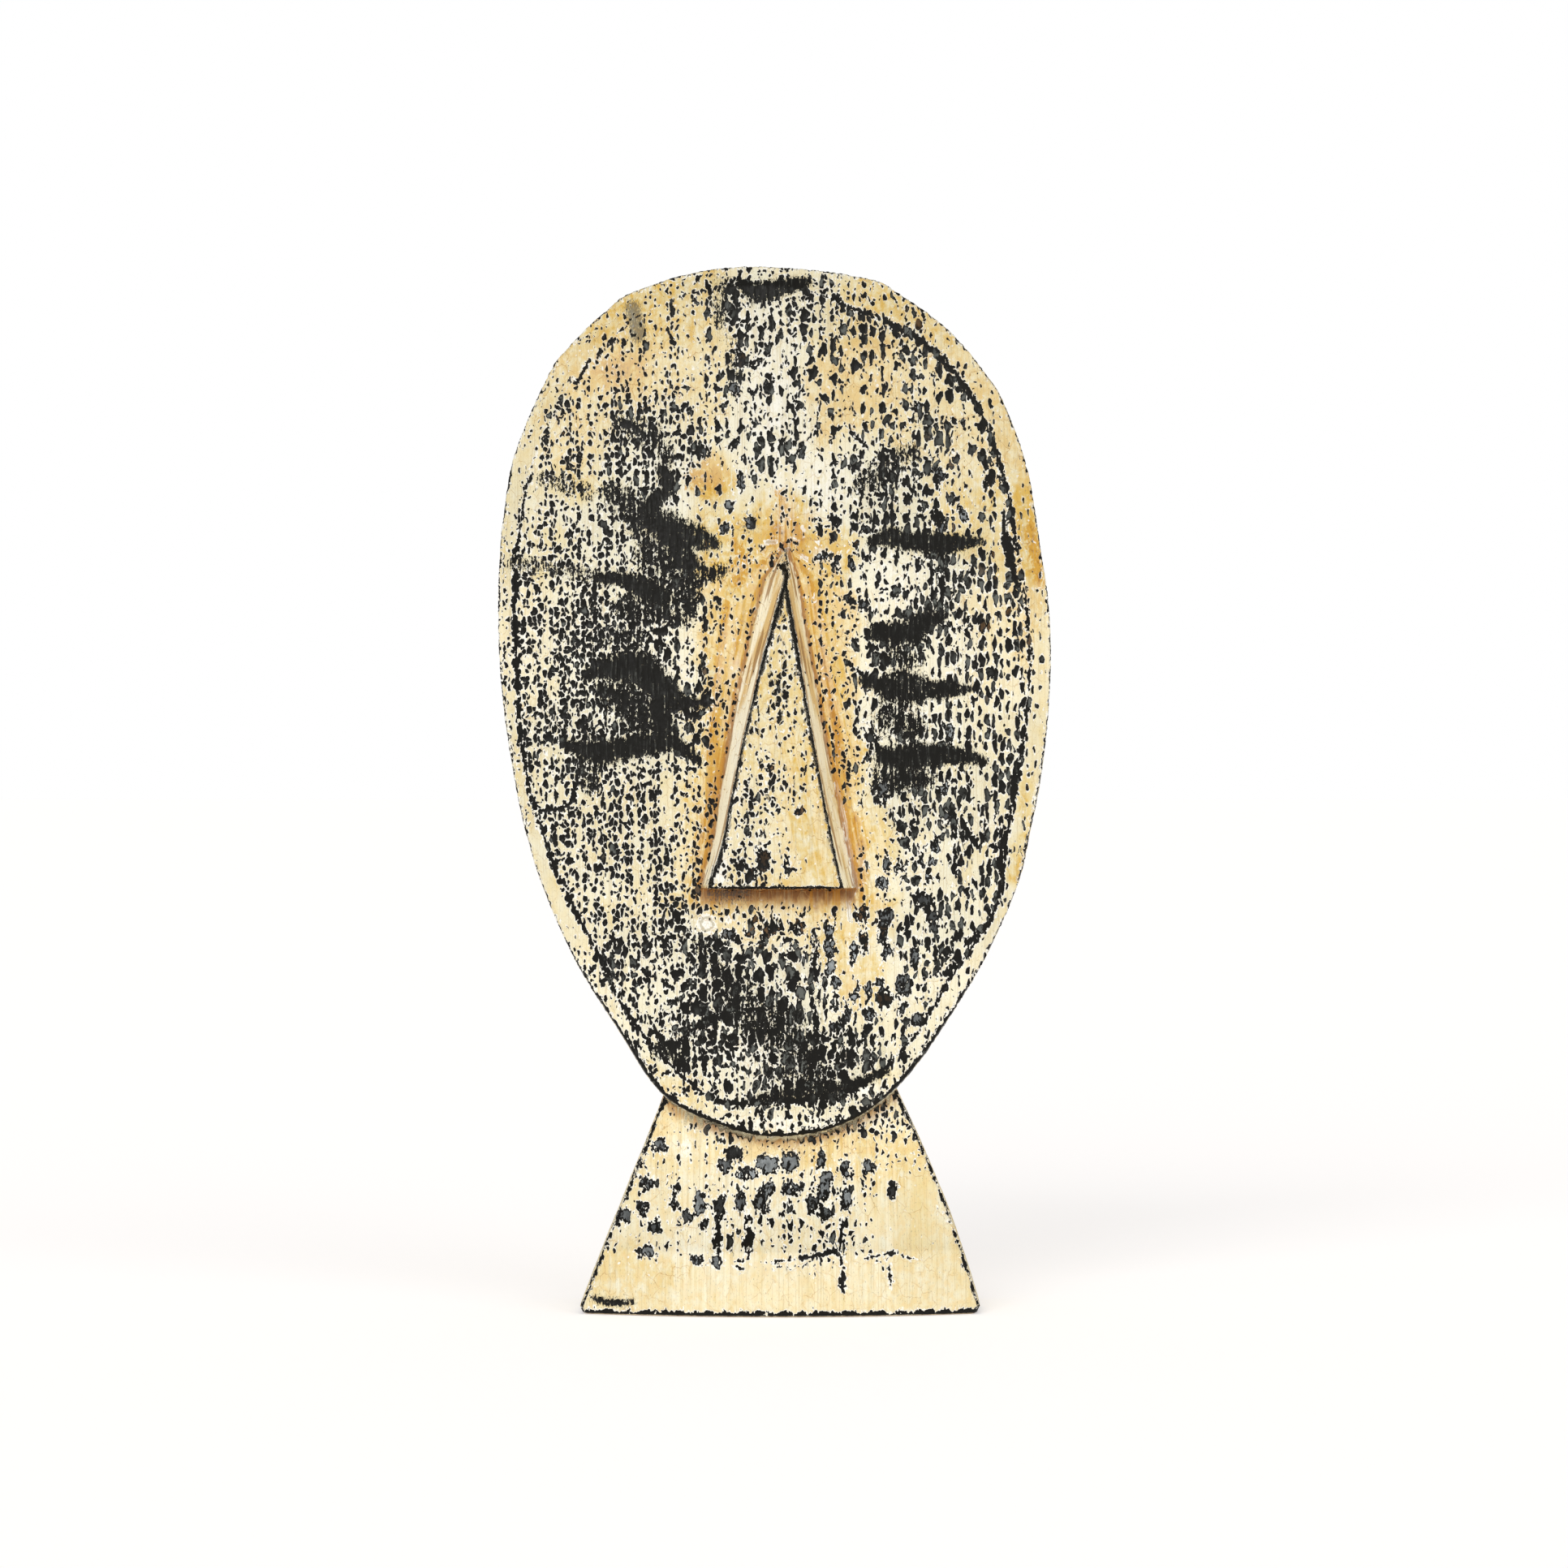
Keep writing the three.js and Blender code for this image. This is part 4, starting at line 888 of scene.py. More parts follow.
def worn(g, place, a):
    """How far through the paint the wear has gone: above 0 the black shows. Returns it with the parts that made it."""
    slow = g.noise(g.scaled(place, 0.30, 0.22), 1.0)
    fast = g.noise(g.scaled(place, 0.95, 0.62), 1.0)
    at = g.vector("MULTIPLY_ADD", g.vector("SUBTRACT", slow.outputs[1], (0.5, 0.5, 0.5)), (2.1, 2.8, 0.0), place)
    at = g.vector("MULTIPLY_ADD", g.vector("SUBTRACT", fast.outputs[1], (0.5, 0.5, 0.5)), (0.75, 1.0, 0.0), at)
    column = g.noise(g.scaled(place, 0.42, 0.014), 1.0).outputs[0]
    patch = g.noise(g.scaled(place, 0.085, 0.060), 2.0).outputs[0]
    link = g.noise(g.scaled(at, 0.56, 0.19), 1.0).outputs[0]
    drift = g.add(g.line(column, 2.3, -1.15), g.line(patch, 1.4, -0.70))
    drift = g.add(drift, g.line(link, 2.4, -1.2))
    ragged_by = g.line(g.channels(fast.outputs[1])[1], 0.20, -0.10)

    def pits(cx, cz, share, slope, loose):
        first = g.cells(g.scaled(at, 1 / cx, 1 / cz), "F1", loose)
        edge = g.cells(g.scaled(at, 1 / cx, 1 / cz), "DISTANCE_TO_EDGE", loose)
        f = first.outputs["Distance"]
        t = g.math("DIVIDE", f, g.add(f, edge.outputs["Distance"]))
        t = g.math("MULTIPLY_ADD", t, 0.55, g.mul(f, 0.72))
        chance = g.channels(first.outputs["Color"])
        reach = g.math("SQRT", g.top(g.mul(a["pitting"], share), 0.0))
        size = g.line(g.mul(reach, g.add(g.line(chance[0], 1.00, 0.56), g.mul(drift, 0.85))), 1.16, -0.12)
        size = g.top(size, g.mul(g.step(a["pitting"], 0.42, 0.80), g.line(chance[0], 0.18, 0.58)))
        size = g.math("MINIMUM", size, g.line(link, 0.50, 0.56))
        real = g.step(size, 0.19, 0.33)
        size = g.add(size, g.line(real, 0.35, -0.35))
        value = g.add(g.mul(g.sub(size, t), slope), ragged_by)
        return value, chance, g.mul(g.step(value, -0.24, -0.08), real)

    fine, _, fine_lip = pits(2.1, 2.9, g.line(a["coarse"], -0.80, 1.0), 0.85, 0.85)
    share = g.line(a["coarse"], 0.85, 0.08)
    drawn_out = g.mul(g.step(a["coarse"], 0.90, 1.06), g.sub(1.0, g.step(a["coarse"], 1.12, 1.20)))
    round_pits, round_chance, round_lip = pits(4.0, 6.0, g.mul(share, g.sub(1.0, drawn_out)), 1.5, 0.95)
    tall, tall_chance, tall_lip = pits(2.6, 5.6, g.mul(share, drawn_out), 1.2, 0.80)
    coarse, coarse_lip = g.top(round_pits, tall), g.top(round_lip, tall_lip)
    chance = [g.add(g.mul(one, g.sub(1.0, drawn_out)), g.mul(other, drawn_out)) for one, other in zip(round_chance, tall_chance)]
    marks = g.top(fine, coarse)

    streak = g.noise(g.scaled(place, 0.95, 0.060), 2.0, 0.65).outputs[0]
    blot = g.noise(g.scaled(place, 0.50, 0.20), 3.0, 0.65).outputs[0]
    grit = g.noise(g.scaled(place, 1.25, 0.75), 2.0, 0.7).outputs[0]
    resist = g.math("MULTIPLY_ADD", g.add(g.mul(streak, 0.52), g.mul(blot, 0.48)), 3.0, -1.00)
    scraped = g.mul(g.add(g.sub(a["smear"], resist), g.line(grit, 2.0, -1.0)), 0.7)
    scraped = g.add(scraped, g.line(g.step(a["smear"], 0.04, 0.24), 0.6, -0.6))

    wander = g.add(g.line(slow.outputs[0], 3.0, -1.5), g.line(fast.outputs[0], 2.6, -1.3))
    cross, wide = g.channels(a["cross"]), g.channels(a["wide"])
    inside = [g.sub(wide[n], g.math("ABSOLUTE", cross[n])) for n in range(3)]
    ragged = g.add(g.top(a["line"], inside[0]), g.mul(wander, 1.05))
    neat = g.top(g.add(inside[1], g.mul(wander, a["wild"])), g.add(inside[2], g.mul(wander, 0.85)))
    single = g.add(a["single"], g.add(g.line(slow.outputs[0], 3.8, -1.9), g.line(fast.outputs[0], 2.8, -1.4)))
    rubbed = g.mul(g.top(g.top(ragged, neat), single), 0.55)

    rubbed = g.add(rubbed, ragged_by)
    gone = g.top(g.top(marks, g.add(scraped, ragged_by)), rubbed)
    lip = g.top(g.top(fine_lip, coarse_lip), g.step(rubbed, -0.38, -0.18))
    return dict(gone=gone, lip=lip, streak=streak, blot=blot, patch=patch, column=column, slow=slow, fast=fast, at=at, chance=chance, scraped=scraped, single=single, fine=fine, coarse=coarse, link=link)


# ---------------------------------------------------------------- building the outer skin


def new_object(name, points, quads, tris=()):
    mesh = bpy.data.meshes.new(name)
    quads = np.asarray(quads, np.int32).reshape(-1, 4)
    tris = np.asarray(tris, np.int32).reshape(-1, 3)
    mesh.vertices.add(len(points))
    mesh.vertices.foreach_set("co", (np.asarray(points) * MM).astype(np.float32).ravel())
    loops = np.concatenate([quads.ravel(), tris.ravel()])
    starts = np.concatenate([np.arange(len(quads)) * 4, len(quads) * 4 + np.arange(len(tris)) * 3])
    mesh.loops.add(len(loops))
    mesh.loops.foreach_set("vertex_index", loops)
    mesh.polygons.add(len(starts))
    mesh.polygons.foreach_set("loop_start", starts.astype(np.int32))
    mesh.update(calc_edges=True)
    made = bpy.data.objects.new(name, mesh)
    bpy.context.scene.collection.objects.link(made)
    return made


def strips(rings):
    """Quads between rings of vertex numbers, each ring running the same way."""
    out = []
    for a, b in zip(rings[:-1], rings[1:]):
        a2, b2 = np.roll(a, -1), np.roll(b, -1)
        out.append(np.stack([a, b, b2, a2], 1))
    return np.concatenate(out)


def disc(n):
    """A square grid laid over a disc: angle and share of the radius for each point, its quads, and its boundary from -45 degrees round."""
    s = np.linspace(-1, 1, n + 1)
    a, b = np.meshgrid(s, s)
    share = np.maximum(np.abs(a), np.abs(b))
    across = np.abs(a) >= np.abs(b)
    with np.errstate(divide="ignore", invalid="ignore"):
        ang = np.where(across, np.where(a > 0, 0, np.pi) + np.pi / 4 * b / a, np.where(b > 0, 0.5, 1.5) * np.pi - np.pi / 4 * a / b)
    ang = np.where(share < 1e-9, 0, ang)
    index = np.arange((n + 1) ** 2).reshape(n + 1, n + 1)
    quads = np.stack([index[:-1, :-1], index[:-1, 1:], index[1:, 1:], index[1:, :-1]], -1).reshape(-1, 4)
    loop = np.concatenate([index[:-1, -1], index[-1, :0:-1], index[:0:-1, 0], index[0, :-1]])
    return ang.ravel(), share.ravel(), quads, loop


def face_board():
    n = 360
    ang, share, quads, loop = disc(n)
    turn = ang[loop]
    rim = by_turn(RIM, ang)
    edge = outline(ang) - INSIDE
    x, z = face_point(ang, (edge - rim) * share)
    points = [np.stack([x, front(x, z), z], 1)]
    count = len(x)
    rings = [loop]
    edge, rim = outline(turn) - INSIDE, by_turn(RIM, turn)
    xo, zo = face_point(turn, edge)
    ledge = front(xo, zo) + RIM_DROP

    def ring(inset, y):
        nonlocal count
        rx, rz = face_point(turn, edge - inset)
        points.append(np.stack([rx, np.broadcast_to(y, rx.shape), rz], 1))
        rings.append(np.arange(count, count + len(turn)))
        count += len(turn)

    start = front(*face_point(turn, edge - rim))
    for q in np.linspace(0, 1, 19)[1:]:
        inset = rim + (RIM_ROUND - rim) * q
        rx, rz = face_point(turn, edge - inset)
        ring(inset, lerp(front(rx, rz) + RIM_DROP * smooth(q, 0, 1) ** 0.9, lerp(start, ledge, q), 0.65))
    for phi in np.radians([18, 36, 54, 72, 90]):
        ring(RIM_ROUND * (1 - math.sin(phi)), ledge + RIM_ROUND * (1 - math.cos(phi)))
    deep = BACK_Y - BACK_BEVEL_DEEP
    for q in np.linspace(0, 1, 19)[1:-1]:
        ring(0.0, lerp(ledge + RIM_ROUND, deep - 0.8, q))
    ring(0.0, deep - 0.8)
    ring(0.12, deep - 0.1)
    for q in np.linspace(0, 1, 6)[1:]:
        ring(lerp(0.3, BACK_BEVEL_IN - 0.3, q), lerp(deep + 0.3, BACK_Y - 0.35, q))
    ring(BACK_BEVEL_IN + 0.2, BACK_Y - 0.05)
    ring(BACK_BEVEL_IN + 0.9, BACK_Y)
    faces = [quads, strips(rings)]

    # back: a third as many points round, then the same square grid turned over
    ang_b, share_b, quads_b, loop_b = disc(n // 3)
    x, z = face_point(ang_b, (outline(ang_b) - INSIDE - BACK_BEVEL_IN - 2.2) * share_b)
    points.append(np.stack([x, np.full(x.shape, BACK_Y), z], 1))
    outer, inner = rings[-1], loop_b + count
    o0, o1, o2, o3 = outer[0::3], outer[1::3], outer[2::3], np.roll(outer[0::3], -1)
    i0, i1 = inner, np.roll(inner, -1)
    tris = np.concatenate([np.stack(t, 1) for t in ((o0, i0, o1), (o1, i0, i1), (o1, i1, o2), (o2, i1, o3))])
    faces.append(quads_b[:, ::-1] + count)
    return new_object("board", np.concatenate(points), np.concatenate(faces), tris)


def lofted(name, sections, low_caps, high_caps, reverse=False):
    """Closed body from equal sections, bottom to top, its ends closed by rings drawn in towards the middle."""
    rows = []
    first, last = sections[0], sections[-1]
    for share in low_caps:
        rows.append(lerp(first.mean(0), first, share))
    rows += list(sections)
    for share in high_caps:
        rows.append(lerp(last.mean(0), last, share))
    n = len(first)
    points = np.concatenate(rows + [first.mean(0)[None], last.mean(0)[None]])
    rings = [np.arange(k * n, (k + 1) * n) for k in range(len(rows))]
    a, b = len(rows) * n, len(rows) * n + 1
    lo, hi = rings[0], rings[-1]
    quads = strips(rings)
    tris = np.concatenate([np.stack([np.full(n, a), lo, np.roll(lo, -1)], 1), np.stack([np.full(n, b), np.roll(hi, -1), hi], 1)])
    if reverse:
        quads, tris = quads[:, ::-1], tris[:, ::-1]
    return new_object(name, points, quads, tris)


def nose():
    z = np.concatenate([np.arange(NOSE_BOTTOM, NOSE_APEX, 0.6), np.arange(NOSE_APEX, NOSE_ROOT - 0.3, 0.7), [NOSE_ROOT - 0.2]])
    inset = np.concatenate([[0.75, 0.42, 0.2, 0.06], np.zeros(len(z))])
    z = np.concatenate([[NOSE_BOTTOM + 0.02, NOSE_BOTTOM + 0.14, NOSE_BOTTOM + 0.34, NOSE_BOTTOM + 0.56], np.maximum(z, NOSE_BOTTOM + 0.8)])
    keep = np.concatenate([[True], np.diff(z) > 0.05])
    z, inset = z[keep], inset[keep]
    left, right, relief, wl, wr = nose_lines(z)
    base = front((left + right) / 2, z)
    half = np.where(z >= NOSE_APEX, 0.35, 0.0)
    bury, deep = 5.0, np.maximum(relief, 0.5)
    left, right = left - half, right + half
    corner = {
        "fl": np.stack([left - wl - wl / deep * bury, base + bury, z], 1),
        "al": np.stack([left, base - relief + INSIDE, z], 1),
        "ar": np.stack([right, base - relief + INSIDE, z], 1),
        "fr": np.stack([right + wr + wr / deep * bury, base + bury, z], 1),
    }

    def side(p, q, n):
        t = np.linspace(0, 1, n, endpoint=False)
        return corner[p][:, None] + (corner[q] - corner[p])[:, None] * t[None, :, None]

    rows = np.concatenate([side("fl", "al", 36), side("al", "ar", 92), side("ar", "fr", 34), side("fr", "fl", 24)], 1)
    # round the two arrises
    soft = 0.9
    for key, a, b in (("al", "fl", "ar"), ("ar", "al", "fr")):
        da, db = corner[a] - corner[key], corner[b] - corner[key]
        la, lb = np.linalg.norm(da, axis=1, keepdims=True), np.linalg.norm(db, axis=1, keepdims=True)
        inward = da / np.maximum(la, 1e-6) + db / np.maximum(lb, 1e-6)
        inward /= np.maximum(np.linalg.norm(inward, axis=1, keepdims=True), 1e-6)
        reach = np.minimum(soft, np.maximum(lb, 0.2))
        d = np.linalg.norm(rows - corner[key][:, None], axis=2)
        rows = rows + inward[:, None] * (np.maximum(reach - d, 0) ** 2 / (2 * reach) * 0.75)[..., None]
    # draw the lowest slices in for the rounded bottom edge
    middle = rows.mean(1, keepdims=True)
    away = rows - middle
    length = np.linalg.norm(away, axis=2, keepdims=True)
    rows = rows - away / np.maximum(length, 1e-6) * inset[:, None, None]
    return lofted("nose", list(rows), [0.06, 0.2, 0.34, 0.48, 0.6, 0.7, 0.78, 0.85, 0.91, 0.96], [0.5])


def foot():
    bevel = [(FOOT_BEVEL * (1 - math.sin(p)), FOOT_BEVEL * (1 - math.cos(p))) for p in np.radians([0, 15, 30, 45, 60, 75, 90])]
    levels = [(i, z * 1.7) for i, z in bevel] + [(0.0, z) for z in np.arange(FOOT_BEVEL * 1.7 + 0.75, FOOT_TOP, 0.78)]
    rows = []
    for inset, z in levels:
        left, right, fy, fyc, by, byc = (float(v) for v in foot_lines(np.array(z)))
        left, right, fy, fyc, by, byc = left + INSIDE, right - INSIDE, fy + INSIDE, fyc + INSIDE, by - INSIDE, byc - INSIDE
        mid, half, c = (left + right) / 2, (right - left) / 2 - 2.0 * inset, FOOT_CORNER
        ring = []
        u = np.linspace(-1, 1, 231)
        ring.append(np.stack([mid + u * (half - c), fy + inset + (fyc - fy) * u * u, np.full(u.shape, z)], 1))

        def corner_arc(cx, cy, start, n=5):
            p = np.radians(np.linspace(start, start + 90, n + 2)[1:-1])
            return np.stack([cx + c * np.cos(p), cy + c * np.sin(p), np.full(n, z)], 1)

        ring.append(corner_arc(mid + half - c, fyc + inset + c, -90))
        t = np.linspace(fyc + inset + c, byc - inset - c, 34)
        ring.append(np.stack([np.full(t.shape, mid + half), t, np.full(t.shape, z)], 1))
        ring.append(corner_arc(mid + half - c, byc - inset - c, 0))
        u = np.linspace(1, -1, 121)
        ring.append(np.stack([mid + u * (half - c), by - inset + (byc - by) * u * u, np.full(u.shape, z)], 1))
        ring.append(corner_arc(mid - half + c, byc - inset - c, 90))
        t = t[::-1]
        ring.append(np.stack([np.full(t.shape, mid - half), t, np.full(t.shape, z)], 1))
        ring.append(corner_arc(mid - half + c, fyc + inset + c, 180))
        rows.append(np.concatenate(ring))
    return lofted("foot", rows, np.linspace(0.05, 0.97, 18), [0.5])


def signed_volume(ob):
    mesh = ob.data
    mesh.calc_loop_triangles()
    co = np.zeros(len(mesh.vertices) * 3, np.float32)
    mesh.vertices.foreach_get("co", co)
    co = co.reshape(-1, 3).astype(float)
    tri = np.zeros(len(mesh.loop_triangles) * 3, np.int32)
    mesh.loop_triangles.foreach_get("vertices", tri)
    p = co[tri.reshape(-1, 3)]
    return float((p[:, 0] * np.cross(p[:, 1], p[:, 2])).sum() / 6)


def points_and_normals(mesh):
    co, no = np.zeros(len(mesh.vertices) * 3, np.float32), np.zeros(len(mesh.vertices) * 3, np.float32)
    mesh.vertices.foreach_get("co", co)
    mesh.vertex_normals.foreach_get("vector", no)
    return co.reshape(-1, 3).astype(float) / MM, no.reshape(-1, 3).astype(float)


def store(mesh, name, values):
    kind = "FLOAT_VECTOR" if values.ndim == 2 else "FLOAT"
    made = mesh.attributes.get(name) or mesh.attributes.new(name, kind, "POINT")
    made.data.foreach_set("vector" if values.ndim == 2 else "value", values.astype(np.float32).ravel())


PATTERN_INPUTS = ("pitting", "coarse", "smear", "line", "single", "wild", "cross", "wide")
VECTORS = ("place", "cross", "wide")


def relief_tree():
    """Mesh nodes that sink the worn places and raise the paint round them, along the surface normal."""
    tree = bpy.data.node_groups.new("paint_relief", "GeometryNodeTree")
    tree.interface.new_socket(name="Geometry", in_out="INPUT", socket_type="NodeSocketGeometry")
    tree.interface.new_socket(name="Geometry", in_out="OUTPUT", socket_type="NodeSocketGeometry")
    g = Graph(tree)
    start, end = g.node("NodeGroupInput"), g.node("NodeGroupOutput")

    def read(name, kind="FLOAT"):
        made = g.node("GeometryNodeInputNamedAttribute", data_type=kind)
        made.inputs["Name"].default_value = name
        return made.outputs[0]

    place = read("place", "FLOAT_VECTOR")
    a = {name: read(name, "FLOAT_VECTOR" if name in VECTORS else "FLOAT") for name in PATTERN_INPUTS}
    w = worn(g, place, a)
    sunk = g.step(w["gone"], -0.10, 0.16)
    lip = g.mul(w["lip"], g.sub(1.0, sunk))
    depth = g.line(g.step(a["smear"], 0.2, 0.8), -0.22, 0.50)
    height = g.mul(g.mul(sunk, depth), -1.0)
    height = g.add(height, g.mul(lip, 0.07))
    height = g.add(height, g.line(g.noise(g.scaled(place, 0.9, 0.02), 1.0).outputs[0], 0.30, -0.24))
    height = g.add(height, g.line(g.noise(g.scaled(place, 0.034, 0.024), 1.0).outputs[0], 0.9, -0.60))
    ridges = g.mul(g.mul(a["smear"], g.sub(w["streak"], 0.5)), 0.9)
    height = g.add(height, ridges)
    height = g.math("MINIMUM", height, 0.10)
    height = g.add(height, g.add(read("raised"), read("gouge")))
    height = g.mul(g.mul(height, read("give")), MM)
    normal = g.node("GeometryNodeInputNormal")
    offset = g.vector("SCALE", normal.outputs[0])
    offset.node.inputs["Scale"].default_value = 1.0
    g.put(offset.node.inputs["Scale"], height)
    move = g.node("GeometryNodeSetPosition")
    tree.links.new(start.outputs[0], move.inputs["Geometry"])
    tree.links.new(offset, move.inputs["Offset"])
    tree.links.new(move.outputs[0], end.inputs[0])
    return tree


def evaluated(ob, name):
    deps = bpy.context.evaluated_depsgraph_get()
    return bpy.data.meshes.new_from_object(ob.evaluated_get(deps), depsgraph=deps)


def unfolded(mesh):
    """Takes out faces that stand on the skin like a fin, or lie back to back on another, so that the skin is one closed surface."""
    shape = bmesh.new()
    shape.from_mesh(mesh)
    bmesh.ops.triangulate(shape, faces=shape.faces)
    while True:
        corners = {}
        for face in shape.faces:
            corners.setdefault(frozenset(face.verts), []).append(face)
        extra = {face for same in corners.values() if len(same) > 1 for face in same}
        extra |= {face for face in shape.faces if sum(edge.is_boundary for edge in face.edges) > 1}
        if not extra:
            break
        bmesh.ops.delete(shape, geom=list(extra), context="FACES")
    shape.to_mesh(mesh)
    shape.free()


def build():
    parts = {"board": face_board(), "nose": nose(), "foot": foot()}
    tree = relief_tree()
    for name, ob in parts.items():
        if signed_volume(ob) < 0:
            ob.data.flip_normals()
        co, no = points_and_normals(ob.data)
        f = fields(co, no, name)
        for key in (*PATTERN_INPUTS, "raised", "place", "gouge"):
            store(ob.data, key, f[key])
        give = np.ones(len(co))
        if name == "foot":
            give = smooth(co[:, 2], 0.2, 2.0)
        give = give * lerp(1.0, 0.6, smooth(no[:, 1], 0.3, 0.7))
        store(ob.data, "give", give)
        ob.modifiers.new("relief", "NODES").node_group = tree
        mesh = evaluated(ob, name)
        ob.modifiers.clear()
        ob.data = mesh
    board = parts["board"]
    for name in ("nose", "foot"):
        cut = board.modifiers.new(name, "BOOLEAN")
        cut.operation, cut.solver, cut.object = "UNION", "MANIFOLD", parts[name]
    whole = evaluated(board, "whole")
    board.modifiers.clear()
    board.data = whole
    whole.calc_loop_triangles()
    few = board.modifiers.new("few", "DECIMATE")
    few.ratio = min(1.0, TRIANGLES / len(whole.loop_triangles))
    final = evaluated(board, "painted_mask")
    unfolded(final)
    for ob in parts.values():
        bpy.data.objects.remove(ob)
    final.name = "painted_mask"
    made = bpy.data.objects.new("painted_mask", final)
    bpy.context.scene.collection.objects.link(made)
    return made


TRIANGLES = 196000

mask = build()
mesh = mask.data
for name in [a.name for a in mesh.attributes if a.name in (*PATTERN_INPUTS, "raised", "place", "gouge", "give")]:
    mesh.attributes.remove(mesh.attributes[name])
co, _ = points_and_normals(mesh)
low, high = np.array(cad_low) / MM + 0.02, np.array(cad_high) / MM - 0.02
co = np.clip(co, [low[0], low[1], 0.0], high)
mesh.vertices.foreach_set("co", (co * MM).astype(np.float32).ravel())
mesh.update()
mesh.polygons.foreach_set("use_smooth", np.ones(len(mesh.polygons), bool))
co, no = points_and_normals(mesh)
found = fields(co, no)
for key in (*PATTERN_INPUTS, "stain", "chalk", "burnt", "pool_and_shadow", "aside", "under", "nook", "pit_fill_and_reflection", "raised", "place", "smoke", "side", "across_wall", "painted_light_and_tone"):
    store(mesh, key, found[key])


# ---------------------------------------------------------------- the finish


def clean_vector(g, value):
    made = g.node("ShaderNodeCombineXYZ")
    for n in range(3):
        g.put(made.inputs[n], value)
    return made.outputs[0]


